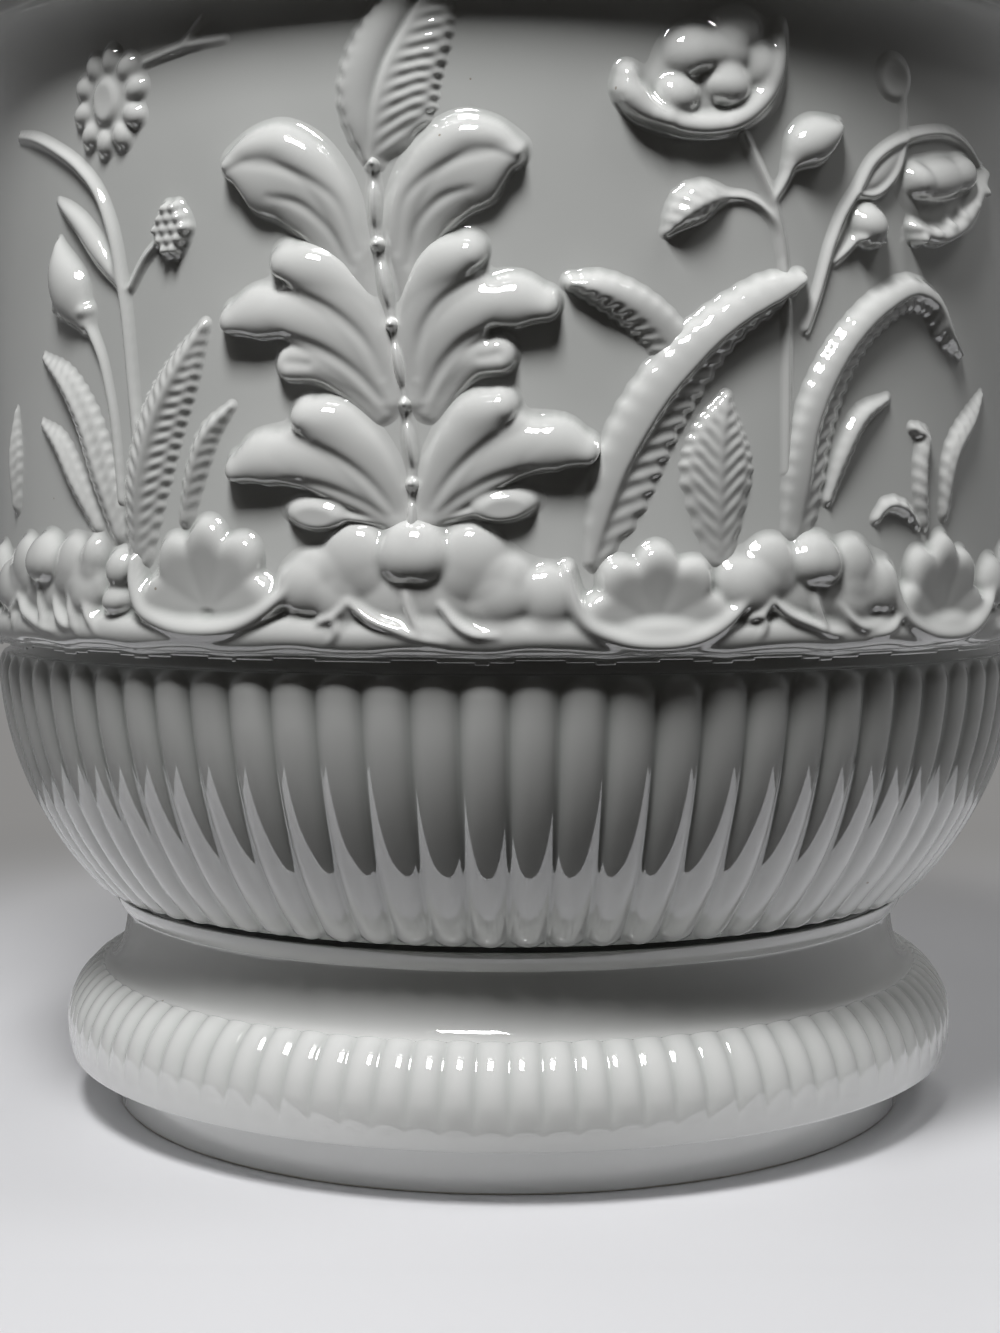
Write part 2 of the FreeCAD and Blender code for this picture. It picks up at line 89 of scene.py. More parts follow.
POT_FOOT_RADIUS = 106.5
POT_FOOT_WIDTH = 8.0
BOWL_FOOT = STAND_TOP + 2.5
BOWL_FOOT_RADIUS = 114.7
BOWL_TOP = STAND_TOP + 69.2
BOWL_RADIUS = 143.4
BOWL_REED_RISE = 1.7
BOWL_WALL = 6.0
FLOOR = STAND_TOP + 9.2
FLOOR_UNDER = FLOOR - 8.0
DRAIN_RADIUS = 10.0
GROOVE_RADIUS = 141.4
LEDGE_FOOT = FIELD_FOOT - 8.0
LEDGE_RADIUS = 150.0
WALL_RADIUS = 147.0
WALL_TOP = POT_TOP - 29.0
FLARE_RADIUS = RIM_RADIUS - 3.5
RIM_FOOT = POT_TOP - 17.0
CROWN_RADIUS = RIM_RADIUS - 7.5
RIM_LIP_RADIUS = CROWN_RADIUS - 7.5
RIM_LIP = POT_TOP - 11.0
INNER_RADIUS = BOWL_RADIUS - BOWL_WALL
PANEL_WIDTH = 2 * math.pi * WALL_RADIUS / PANELS
print(f"pot top {POT_TOP:.1f} mm, wall foot {FIELD_FOOT:.1f} mm, panel {PANEL_WIDTH:.1f} mm wide")

# %% [markdown]
# ## Camera
# The view is that of someone who bends down close to the pot: about 0.58 m from its axis, half way
# up the wall and looking slightly down, so that the wall fills the picture.

# %% Camera
PICTURE_HEIGHT = 1333.0
FOCAL_PIXELS = 1980.0
SENSOR = 36.0
CAMERA_PLACE = (0.0, -0.580, 0.1564)
CAMERA_PITCH = 0.0623
AXIS_OFFSET_PIXELS = 8.9

camera = bpy.data.objects.new("camera", bpy.data.cameras.new("camera"))
bpy.context.scene.collection.objects.link(camera)
camera.data.lens = FOCAL_PIXELS / PICTURE_HEIGHT * SENSOR
camera.data.sensor_width = SENSOR
camera.data.shift_x = -AXIS_OFFSET_PIXELS / PICTURE_HEIGHT
camera.data.clip_start = 0.01
camera.location = CAMERA_PLACE
camera.rotation_euler = (math.pi / 2 - CAMERA_PITCH, 0.0, 0.0)
bpy.context.scene.camera = camera
bpy.context.scene.view_settings.view_transform = "Standard"
print(f"lens {camera.data.lens:.1f} mm")

# %% [markdown]
# ## Shader sums
# A material is a graph of nodes. This small class wraps one output of a node, so that sums on it
# read like ordinary sums, and its one method adds any other node with its settings and inputs.

# %% A node output that can be added, multiplied and passed on


class Wire:
    """An output in a node tree. Sums with it make math nodes."""

    def __init__(self, tree, output=None):
        self.tree = tree
        self.output = output

    def node(self, kind, settings, inputs, output=0):
        """Adds a node to the same tree: its settings first, then its inputs by name or number."""
        node = self.tree.nodes.new(kind)
        for name, value in settings.items():
            setattr(node, name, value)
        for key, value in inputs.items():
            if isinstance(value, Wire):
                self.tree.links.new(value.output, node.inputs[key])
            else:
                node.inputs[key].default_value = value
        return Wire(self.tree, node.outputs[output] if node.outputs else None)

    def sum(self, operation, first, second):
        return self.node("ShaderNodeMath", {"operation": operation}, {0: first, 1: second})

    def __add__(self, other):
        return self.sum("ADD", self, other)

    def __sub__(self, other):
        return self.sum("SUBTRACT", self, other)

    def __mul__(self, other):
        return self.sum("MULTIPLY", self, other)

    def __truediv__(self, other):
        return self.sum("DIVIDE", self, other)

    def __rsub__(self, other):
        return self.sum("SUBTRACT", other, self)

    __radd__ = __add__


print("shader sums ready")

# %% [markdown]
# ## Porcelain
# The body is fine white clay under a thick clear glaze. Where the glaze runs thin, on crests, it is
# a warm white. Where it pools, in grooves and hollows, it is a little grey and green and darker, partly
# pooled glaze and partly painted shade. It is mirror smooth, but never quite flat, so reflections in
# it swim. The places that stand on something are wiped clean of glaze before firing, and stay matt.

# %% Porcelain materials
# Thin and deep glaze colours. The deep colour goes where glaze pools in grooves and hollows, and its
# darkness is partly painted shade.
POT_GLAZE_AND_SHADE = ((0.78, 0.785, 0.77, 1.0), (0.50, 0.52, 0.50, 1.0))
STAND_GLAZE_AND_SHADE = ((0.88, 0.885, 0.87, 1.0), (0.66, 0.68, 0.66, 1.0))
BARE_CLAY = (0.66, 0.62, 0.55, 1.0)
SPECK = (0.30, 0.24, 0.17, 1.0)
POT_MIRROR = (1.8, 1.9)
STAND_MIRROR = (1.5, 1.65)
GLAZE_ROUGHNESS, CLOUD_ROUGHNESS, COAT_ROUGHNESS, CLAY_ROUGHNESS = 0.035, 0.03, 0.02, 0.75
BARE_HEIGHT, CLEAN_EDGE, RAGGED_EDGE = 0.7 * MM, 0.25 * MM, 0.5 * MM
CLOUD_NOISE, SWIM_NOISE, SKIN_NOISE, RARE_NOISE = (16.0, 3.0), (55.0, 1.0), (420.0, 2.0), (38.0, 0.0)
POOL_AND_SHADE_SHARE, CLOUD_SHARE, CLEAR_SHARE = 0.8, 0.5, 0.15
DOT_SCALE, DOT_RADIUS, DOT_RARITY, DOT_STRENGTH = 95.0, 0.035, 0.67, 0.7
BUMP_STRENGTH, BUMP_HEIGHT = 0.25, 0.3 * MM
SWIM_SHARE, SKIN_SHARE = 0.8, 0.05


def mixed(factor, first, second):
    """A colour between two others."""
    sockets = {0: factor, 6: first, 7: second}
    return factor.node("ShaderNodeMix", {"data_type": "RGBA"}, sockets, 2)


def porcelain(name, bare_level, glaze_and_shade_colours, mirror):
    """Glazed porcelain, with its foot wiped clean up to just above a level in metres.

    The colours are those of thin glaze and of deep glaze, the deep one darker partly as painted shade;
    mirror the indices of the clay and the glaze."""
    material = bpy.data.materials.new(name)
    material.use_nodes = True
    tree = material.node_tree
    tree.nodes.clear()
    start = Wire(tree)
    place = start.node("ShaderNodeTexCoord", {}, {}, "Object")
    # Where glaze pools in grooves and hollows, which also paints shade there.
    pool_and_shade = start.node("ShaderNodeAttribute", {"attribute_name": "pool_and_shade"}, {}, "Fac")
    cloud, swim, skin, rare = [
        start.node("ShaderNodeTexNoise", {}, {"Vector": place, "Scale": scale, "Detail": detail}, "Fac")
        for scale, detail in (CLOUD_NOISE, SWIM_NOISE, SKIN_NOISE, RARE_NOISE)
    ]
    dots = start.node("ShaderNodeTexVoronoi", {}, {"Vector": place, "Scale": DOT_SCALE}, "Distance")
    pooled_and_shaded = pool_and_shade * POOL_AND_SHADE_SHARE + cloud * CLOUD_SHARE - CLEAR_SHARE
    depth = start.node("ShaderNodeClamp", {}, {"Value": pooled_and_shaded})
    dot = start.sum("LESS_THAN", dots, DOT_RADIUS) * start.sum("GREATER_THAN", rare, DOT_RARITY)
    glaze = mixed(dot * DOT_STRENGTH, mixed(depth, *glaze_and_shade_colours), SPECK)
    height = start.node("ShaderNodeSeparateXYZ", {}, {"Vector": place}, "Z")
    ragged = (bare_level + BARE_HEIGHT - height + (swim - 0.5) * RAGGED_EDGE) / CLEAN_EDGE
    bare = start.node("ShaderNodeClamp", {}, {"Value": ragged})
    colour = mixed(bare, glaze, BARE_CLAY)
    gloss = GLAZE_ROUGHNESS + cloud * CLOUD_ROUGHNESS + bare * CLAY_ROUGHNESS
    ripple = swim * SWIM_SHARE + skin * SKIN_SHARE
    bumps = start.node(
        "ShaderNodeBump", {}, {"Strength": BUMP_STRENGTH, "Distance": BUMP_HEIGHT, "Height": ripple}
    )
    surface = start.node(
        "ShaderNodeBsdfPrincipled",
        {},
        {
            "Base Color": colour, "Roughness": gloss, "Normal": bumps, "IOR": mirror[0],
            "Coat Weight": 1 - bare, "Coat Roughness": COAT_ROUGHNESS, "Coat IOR": mirror[1],
        },
    )
    start.node("ShaderNodeOutputMaterial", {}, {"Surface": surface})
    return material


finishes = {
    "stand_porcelain": porcelain("stand_porcelain", 0.0, STAND_GLAZE_AND_SHADE, STAND_MIRROR),
    "pot_porcelain": porcelain("pot_porcelain", SEAT * MM, POT_GLAZE_AND_SHADE, POT_MIRROR),
    "relief_porcelain": porcelain("relief_porcelain", 0.0, POT_GLAZE_AND_SHADE, POT_MIRROR),
}
print("finishes:", list(finishes))

# %% [markdown]
# ## Thrown forms
# A potter turns the stand and the pot against a template, so each is one closed outline spun round
# the axis. The outline is made of straight runs and arcs, and every hard corner is softened as
# glaze softens it.

# %% Outlines of radius and height
CORNER = 0.8
CORNER_STEPS = 4
CORNER_SHARE = 0.45
SHARP_TURN = 0.35
TINY = 1e-6


def arc(start, middle, end, count):
    """A round run through three points."""
    (ax, ay), (bx, by), (cx, cy) = start, middle, end
    rows = np.array([[bx - ax, by - ay], [cx - ax, cy - ay]]) * 2
    sums = np.array([bx**2 + by**2 - ax**2 - ay**2, cx**2 + cy**2 - ax**2 - ay**2])
    centre = np.linalg.solve(rows, sums)
    turns = np.unwrap([math.atan2(y - centre[1], x - centre[0]) for x, y in (start, middle, end)])
    angles = np.linspace(turns[0], turns[2], count)
    radius = math.dist(start, centre)
    return np.stack([centre[0] + radius * np.cos(angles), centre[1] + radius * np.sin(angles)], 1)


def quarter(start, end, count):
    """A round quarter that leaves start upright and reaches end level."""
    angles = np.linspace(0, math.pi / 2, count)
    radii = start[0] + (1 - np.cos(angles)) * (end[0] - start[0])
    return np.stack([radii, start[1] + np.sin(angles) * (end[1] - start[1])], 1)


def outline(*runs):
    """Corners and round runs joined end to end, with the hard corners softened."""
    joined = np.vstack(runs)
    points = [joined[0]]
    points += [here for before, here in zip(joined, joined[1:]) if math.dist(before, here) > TINY]
    rounded = [points[0]]
    for before, here, after in zip(points, points[1:], points[2:]):
        inward, outward = here - before, after - here
        turn = math.atan2(inward[0] * outward[1] - inward[1] * outward[0], inward @ outward)
        if abs(turn) < SHARP_TURN:
            rounded.append(here)
            continue
        size = min(CORNER, CORNER_SHARE * math.hypot(*inward), CORNER_SHARE * math.hypot(*outward))
        first = here - inward / math.hypot(*inward) * size
        last = here + outward / math.hypot(*outward) * size
        for t in np.linspace(0, 1, CORNER_STEPS):
            rounded.append((1 - t) ** 2 * first + 2 * t * (1 - t) * here + t**2 * last)
    return np.array(rounded + [points[-1]])


def mesh_of(name, points, faces, pool_and_shade, places):
    """A smooth mesh from points in millimetres, with its glaze pool and painted shade, and unwrapped by its
    corners.
    """
    mesh = bpy.data.meshes.new(name)
    mesh.from_pydata(points * MM, [], faces.tolist())
    mesh.attributes.new("pool_and_shade", "FLOAT", "POINT").data.foreach_set("value", pool_and_shade.astype(np.float32))
    mesh.uv_layers.new(name="OFBake").data.foreach_set("uv", places.astype(np.float32).ravel())
    mesh.polygons.foreach_set("use_smooth", np.ones(len(mesh.polygons), bool))
    return mesh


def piece_of(name, mesh, slot, node, body):
    """A mesh shown in place of a CAD node, with the finish of its slot, riding on a body."""
    piece = bpy.data.objects.new(name, mesh)
    bpy.context.scene.collection.objects.link(piece)
    mesh.materials.append(finishes[slot])
    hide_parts(node)
    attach(piece, body)


print("outline tools ready")

# %% [markdown]
# ## Reeds
# Reeds are pressed or cut side by side, so each one is a long round bead. On the bowl both ends are
# domed. On the roll they start under a fine step and sink into a smooth band before they reach its
# lip. The glaze runs off the crests and pools in the grooves between, which are painted darker, partly
# as pooled glaze and partly as painted shade.

# %% Spun meshes with reeds
COLUMNS_PER_REED = 12
REED_ROUND = 2.3
REED_UNEVEN, UNEVEN_WAVE, UNEVEN_DRIFT, UNEVEN_START = 0.14, 1.9, 0.7, 1.0
WELD = 1e-7


def spin(name, profile, reeds, reed_lift):
    """An outline spun round the axis, with reeds that reed_lift raises along the outline's normals."""
    columns = reeds * COLUMNS_PER_REED
    rows = len(profile)
    angles = 2 * math.pi * np.arange(columns) / columns
    across = np.arange(columns) % COLUMNS_PER_REED / COLUMNS_PER_REED - 0.5
    along = np.gradient(profile, axis=0)
    normals = np.stack([along[:, 1], -along[:, 0]], 1) / np.hypot(along[:, 0], along[:, 1])[:, None]
    lift, pool_and_shade = reed_lift(profile, across)
    radii = profile[:, 0, None] + normals[:, 0, None] * lift
    heights = profile[:, 1, None] + normals[:, 1, None] * lift
    points = np.stack([radii * np.sin(angles), -radii * np.cos(angles), heights], 2)
    index = np.arange(rows * columns).reshape(rows, columns)
    beside = np.roll(index, -1, 1)
    faces = np.stack([index[:-1], beside[:-1], beside[1:], index[1:]], 2)
    steps = np.concatenate([[0], np.cumsum(np.hypot(*np.diff(profile, axis=0).T))])
    turn, climb = np.meshgrid(np.arange(columns + 1) / columns, steps / steps[-1])
    flat = np.stack([turn, climb], 2)
    places = np.stack([flat[:-1, :-1], flat[:-1, 1:], flat[1:, 1:], flat[1:, :-1]], 2)
    mesh = mesh_of(name, points.reshape(-1, 3), faces.reshape(-1, 4), pool_and_shade.ravel(), places)
    welded = bmesh.new()
    welded.from_mesh(mesh)
    bmesh.ops.remove_doubles(welded, verts=welded.verts, dist=WELD)
    welded.to_mesh(mesh)
    welded.free()
    return mesh


def bead(inside, half):
    """The rise of a round bead, as a share, at a distance inside its edge."""
    return 1 - (1 - np.clip(inside / half, 0, 1)) ** REED_ROUND


def uneven(columns):
    """How much higher or lower each reed is, at each column. No two reeds side by side are alike."""
    reed = np.arange(columns) // COLUMNS_PER_REED
    wave = np.sin(UNEVEN_WAVE * reed) * np.cos(UNEVEN_DRIFT * reed + UNEVEN_START)
    return 1 + REED_UNEVEN * wave


print("reeds: bowl", BOWL_REEDS, "stand", STAND_REEDS)

# %% [markdown]
# ## The stand
# Seen from below, it is hollow, and it stands on a ring that is wiped clean. A plain foot carries
# the reeded roll, a smooth cove draws in above it, and a narrow collar rings the pot's foot. Inside
# the collar is the seat, and in its middle a dish for the water that drains from the pot.

# %% Stand
ROLL_REED_PLACES = (0.0, 0.16, 0.3, 0.45, 0.6, 0.8, 0.95, 1.0)
ROLL_REED_RISES = (0.0, 0.0, 0.3, 0.75, 0.95, 1.0, 0.95, 0.7)
ROLL_ROWS, COVE_ROWS, COLLAR_ROWS = 34, 20, 9
LAND_RADIUS = FOOT_RADIUS - FOOT_LAND
HOLLOW_TOP = DISH_FLOOR - STAND_WALL
STEP_RADIUS = ROLL_TOP_RADIUS - 0.6
REED_MARGIN = 0.3
COLLAR_SWELL = 0.4
COLLAR_FOOT_RADIUS = COLLAR_RADIUS - 2.4
COLLAR_CREST = STAND_TOP + 0.9

collar_middle = (
    (COLLAR_FOOT_RADIUS + COLLAR_RADIUS) / 2 + COLLAR_SWELL, (COLLAR_FOOT + COLLAR_CREST) / 2,
)
stand_profile = outline(
    (0, HOLLOW_TOP), (LAND_RADIUS, HOLLOW_TOP), (LAND_RADIUS, 0), (FOOT_RADIUS, 0),
    (FOOT_RADIUS, FOOT_HEIGHT),
    arc((LIP_RADIUS, FOOT_HEIGHT), (ROLL_RADIUS, ROLL_WIDEST), (ROLL_TOP_RADIUS, ROLL_TOP), ROLL_ROWS),
    quarter((NECK_RADIUS, COLLAR_FOOT), (STEP_RADIUS, ROLL_TOP), COVE_ROWS)[::-1],
    arc((COLLAR_FOOT_RADIUS, COLLAR_FOOT), collar_middle, (COLLAR_RADIUS, COLLAR_CREST), COLLAR_ROWS),
    (COLLAR_BORE, STAND_TOP), (COLLAR_BORE, SEAT), (DISH_RADIUS, SEAT), (DISH_RADIUS, DISH_FLOOR),
    (0, DISH_FLOOR),
)


def roll_reeds(profile, across):
    """The lift of the roll's reeds, and their glaze pool and painted shade in the grooves."""
    share = (profile[:, 1] - FOOT_HEIGHT) / (ROLL_TOP - FOOT_HEIGHT)
    outside = (profile[:, 0] > ROLL_TOP_RADIUS - REED_MARGIN) & (share >= 0) & (share <= 1)
    rise = np.where(outside, np.interp(share, ROLL_REED_PLACES, ROLL_REED_RISES), 0)[:, None]
    crest = bead(0.5 - abs(across), 0.5)[None, :]
    return ROLL_REED_RISE * rise * crest * uneven(len(across)), rise * (1 - crest)


stand = spin("stand_body", stand_profile, STAND_REEDS, roll_reeds)
piece_of("stand_body", stand, "stand_porcelain", "stand", "stand")
print("stand faces:", len(stand.polygons))

# %% [markdown]
# ## The pot
# The pot stands in the stand on a foot ring. Its bowl swells out in domed reeds to a dark groove, a
# rolled ledge carries the wall, and the wall flares into a heavy rolled rim. Inside it is plain, with
# a drain hole in the floor.

# %% Pot
BOWL_SWELL = BOWL_RADIUS - BOWL_FOOT_RADIUS
BOWL_RISE = BOWL_TOP - BOWL_FOOT
BOWL_ARC = (BOWL_SWELL**2 + BOWL_RISE**2) / (2 * BOWL_SWELL)
BOWL_CENTRE = np.array([BOWL_RADIUS - BOWL_ARC, BOWL_TOP])
BOWL_LEAN = math.asin(BOWL_RISE / BOWL_ARC)
BOWL_LENGTH = BOWL_ARC * BOWL_LEAN
DOME_REACH = 9.0
DOME_ROWS, BOWL_ROWS, INNER_ROWS, ROUND_ROWS, RIM_ROWS = 16, 20, 14, 9, 14
ON_BOWL, AT_BOWL_TOP = 0.05, 0.01
GROOVE_SHARE = 1.5
PLAIN_POOL = 0.3
FOOT_INSIDE = POT_FOOT_RADIUS - POT_FOOT_WIDTH


def bowl_run(radius, foot_lean, climbs):
    """Points on a round profile of the bowl, by shares of the way from a lean up to its top."""
    leans = foot_lean * (1 - climbs)
    return np.stack([BOWL_CENTRE[0] + radius * np.cos(leans), BOWL_TOP - radius * np.sin(leans)], 1)


dome_share = DOME_REACH / BOWL_LENGTH
climbs = np.concatenate([
    np.linspace(0, dome_share, DOME_ROWS),
    np.linspace(dome_share, 1 - dome_share, BOWL_ROWS)[1:-1],
    np.linspace(1 - dome_share, 1, DOME_ROWS),
])
inner_arc = BOWL_ARC - BOWL_WALL
inner_lean = math.asin((BOWL_TOP - FLOOR) / inner_arc)
inner_bowl = bowl_run(inner_arc, inner_lean, np.linspace(1, 0, INNER_ROWS))
lip = (RIM_LIP_RADIUS, RIM_LIP)
crown = (CROWN_RADIUS, POT_TOP)
ledge_middle = (LEDGE_RADIUS, (LEDGE_FOOT + FIELD_FOOT) / 2)
pot_profile = outline(
    (DRAIN_RADIUS, FLOOR_UNDER), (FOOT_INSIDE, FLOOR_UNDER), (FOOT_INSIDE, SEAT), (POT_FOOT_RADIUS, SEAT),
    (POT_FOOT_RADIUS, BOWL_FOOT),
    bowl_run(BOWL_ARC, BOWL_LEAN, climbs),
    (GROOVE_RADIUS, BOWL_TOP), (GROOVE_RADIUS, LEDGE_FOOT),
    arc((WALL_RADIUS, LEDGE_FOOT), ledge_middle, (WALL_RADIUS, FIELD_FOOT), ROUND_ROWS),
    (WALL_RADIUS, (FIELD_FOOT + WALL_TOP) / 2),
    quarter((WALL_RADIUS, WALL_TOP), (FLARE_RADIUS, RIM_FOOT), ROUND_ROWS),
    arc((FLARE_RADIUS, RIM_FOOT), (RIM_RADIUS, (RIM_FOOT + POT_TOP) / 2), crown, RIM_ROWS),
    quarter(lip, crown, ROUND_ROWS)[::-1],
    (INNER_RADIUS, WALL_TOP), (INNER_RADIUS, BOWL_TOP),
    inner_bowl,
    (DRAIN_RADIUS, FLOOR), (DRAIN_RADIUS, FLOOR_UNDER),
)


def bowl_reeds(profile, across):
    """The lift of the bowl's domed reeds, and their glaze pool and painted shade in the grooves."""
    offset = profile - BOWL_CENTRE
    on_bowl = abs(np.hypot(offset[:, 0], offset[:, 1]) - BOWL_ARC) < ON_BOWL
    on_bowl &= (offset[:, 0] > 0) & (offset[:, 1] < AT_BOWL_TOP)
    lean = np.arcsin(np.clip(-offset[:, 1] / BOWL_ARC, -1, 1))
    climb = (BOWL_LENGTH - BOWL_ARC * lean)[:, None]
    half = (math.pi * profile[:, 0] / BOWL_REEDS)[:, None]
    middle = np.clip(climb, half, BOWL_LENGTH - half)
    inside = half - np.hypot(across[None, :] * 2 * half, climb - middle)
    rise = np.where(on_bowl[:, None], bead(inside, half), 0)
    rise = rise * uneven(len(across))
    groove = 1 - bead(inside * GROOVE_SHARE, half)
    return BOWL_REED_RISE * rise, np.where(on_bowl[:, None], groove, PLAIN_POOL)


pot = spin("pot_body", pot_profile, BOWL_REEDS, bowl_reeds)
piece_of("pot_body", pot, "pot_porcelain", "pot", "pot")
print("pot faces:", len(pot.polygons))

# %% [markdown]
# ## Tools for the moulded plants
# Each sprig is pressed in a mould of its own and stuck on with slip, so it is a low relief: one
# height over the wall at each place. A place is a distance across from the front and a height above
# the table, in millimetres. Ridges, domes and cuts are joined softly, as a carver's tool and the
# glaze leave them, and the whole may droop a little, which gives the lower edges their dark shadow.

# %% Curves and soft joins
CURVE_STEP = 1.2
LEAST_STEPS = 4
LEAST_HALF = 0.2


def spline(rows):
    """A smooth curve through rows, at even steps, with the length along it as a last column.

    A row with one half width has it on both sides of the curve."""
    rows = np.asarray(rows, float)
    if rows.shape[1] == 4:
        rows = rows[:, [0, 1, 2, 2, 3]]
    knots = np.concatenate([[0], np.cumsum(np.hypot(*np.diff(rows[:, :2], axis=0).T))])
    slopes = np.gradient(rows, knots, axis=0)
    places = np.linspace(0, knots[-1], max(int(knots[-1] / CURVE_STEP), LEAST_STEPS))
    cell = np.clip(np.searchsorted(knots, places, side="right") - 1, 0, len(rows) - 2)
    width = (knots[cell + 1] - knots[cell])[:, None]
    t = (places - knots[cell])[:, None] / width
    curve = (
        (1 + 2 * t) * (1 - t) ** 2 * rows[cell]
        + t * (1 - t) ** 2 * width * slopes[cell]
        + t**2 * (3 - 2 * t) * rows[cell + 1]
        + t**2 * (t - 1) * width * slopes[cell + 1]
    )
    return np.column_stack([curve, places])


def nearest(curve, across, up):
    """At each place: the length along the curve, the share of the way to its edge, with a sign for the
    side, the half width there and the rise."""
    best = np.full(across.shape, np.inf)
    values = np.zeros(across.shape + (4,))
    for a, b in zip(curve[:-1], curve[1:]):
        run = b[:2] - a[:2]
        t = np.clip(((across - a[0]) * run[0] + (up - a[1]) * run[1]) / (run @ run), 0, 1)
        off_across = across - a[0] - t * run[0]
        off_up = up - a[1] - t * run[1]
        far = off_across**2 + off_up**2
        closer = far < best
        best[closer] = far[closer]
        side = run[0] * off_up - run[1] * off_across
        here = a + t[..., None] * (b - a)
        half = np.maximum(np.where(side > 0, here[..., 2], here[..., 3]), LEAST_HALF)
        share = np.sign(side) * np.sqrt(far) / half
        values[closer] = np.stack([here[..., 5], share, half, here[..., 4]], -1)[closer]
    return np.moveaxis(values, -1, 0)


def join(first, second, soft):
    """The higher of two heights, with a soft hollow where they meet."""
    gap = np.maximum(soft - abs(first - second), 0)
    return np.maximum(first, second) + gap**2 / (4 * soft)


def wall_radius(up):
    """The wall's radius at a height, with the flare under the rim."""
    climb = np.clip((up - WALL_TOP) / (RIM_FOOT - WALL_TOP), 0, 1)
    return WALL_RADIUS + (FLARE_RADIUS - WALL_RADIUS) * (1 - np.sqrt(1 - climb**2))


def blurred(heights, reach):
    """Heights averaged over a square of cells."""
    for axis in (0, 1):
        padded = np.pad(heights, [(reach, reach) if a == axis else (0, 0) for a in (0, 1)], "edge")
        count, width = heights.shape[axis], 2 * reach + 1
        heights = sum(np.take(padded, range(shift, shift + count), axis) for shift in range(width)) / width
    return heights


print(f"wall radius {wall_radius(FIELD_FOOT):.1f} mm, under the rim {wall_radius(RIM_FOOT):.1f} mm")

# %% Ridges, domes, fans and cuts
GRID, FINE_GRID = 0.42, 0.36
MARGIN = 3.0
SKIRT, FILLET, MELT_FLOOR = 0.12, 1.5, 1.5
OUTSIDE_SLOPE = 0.8
RIB = 0.9
TOOTH_FULL, TOOTH_FADE = 1.1, 0.35
FAN_SPREAD, FAN_LOBES, FAN_NOTCH = math.radians(100), 5, 0.16
FAN_FLOOR, FAN_CLIMB, FAN_POWER, FAN_BRIM = 1.5, 2.8, 1.4, 0.7
FAN_RIB, FAN_RIB_LEVEL = 0.8, 0.7
CUT_SHARP = 1.5


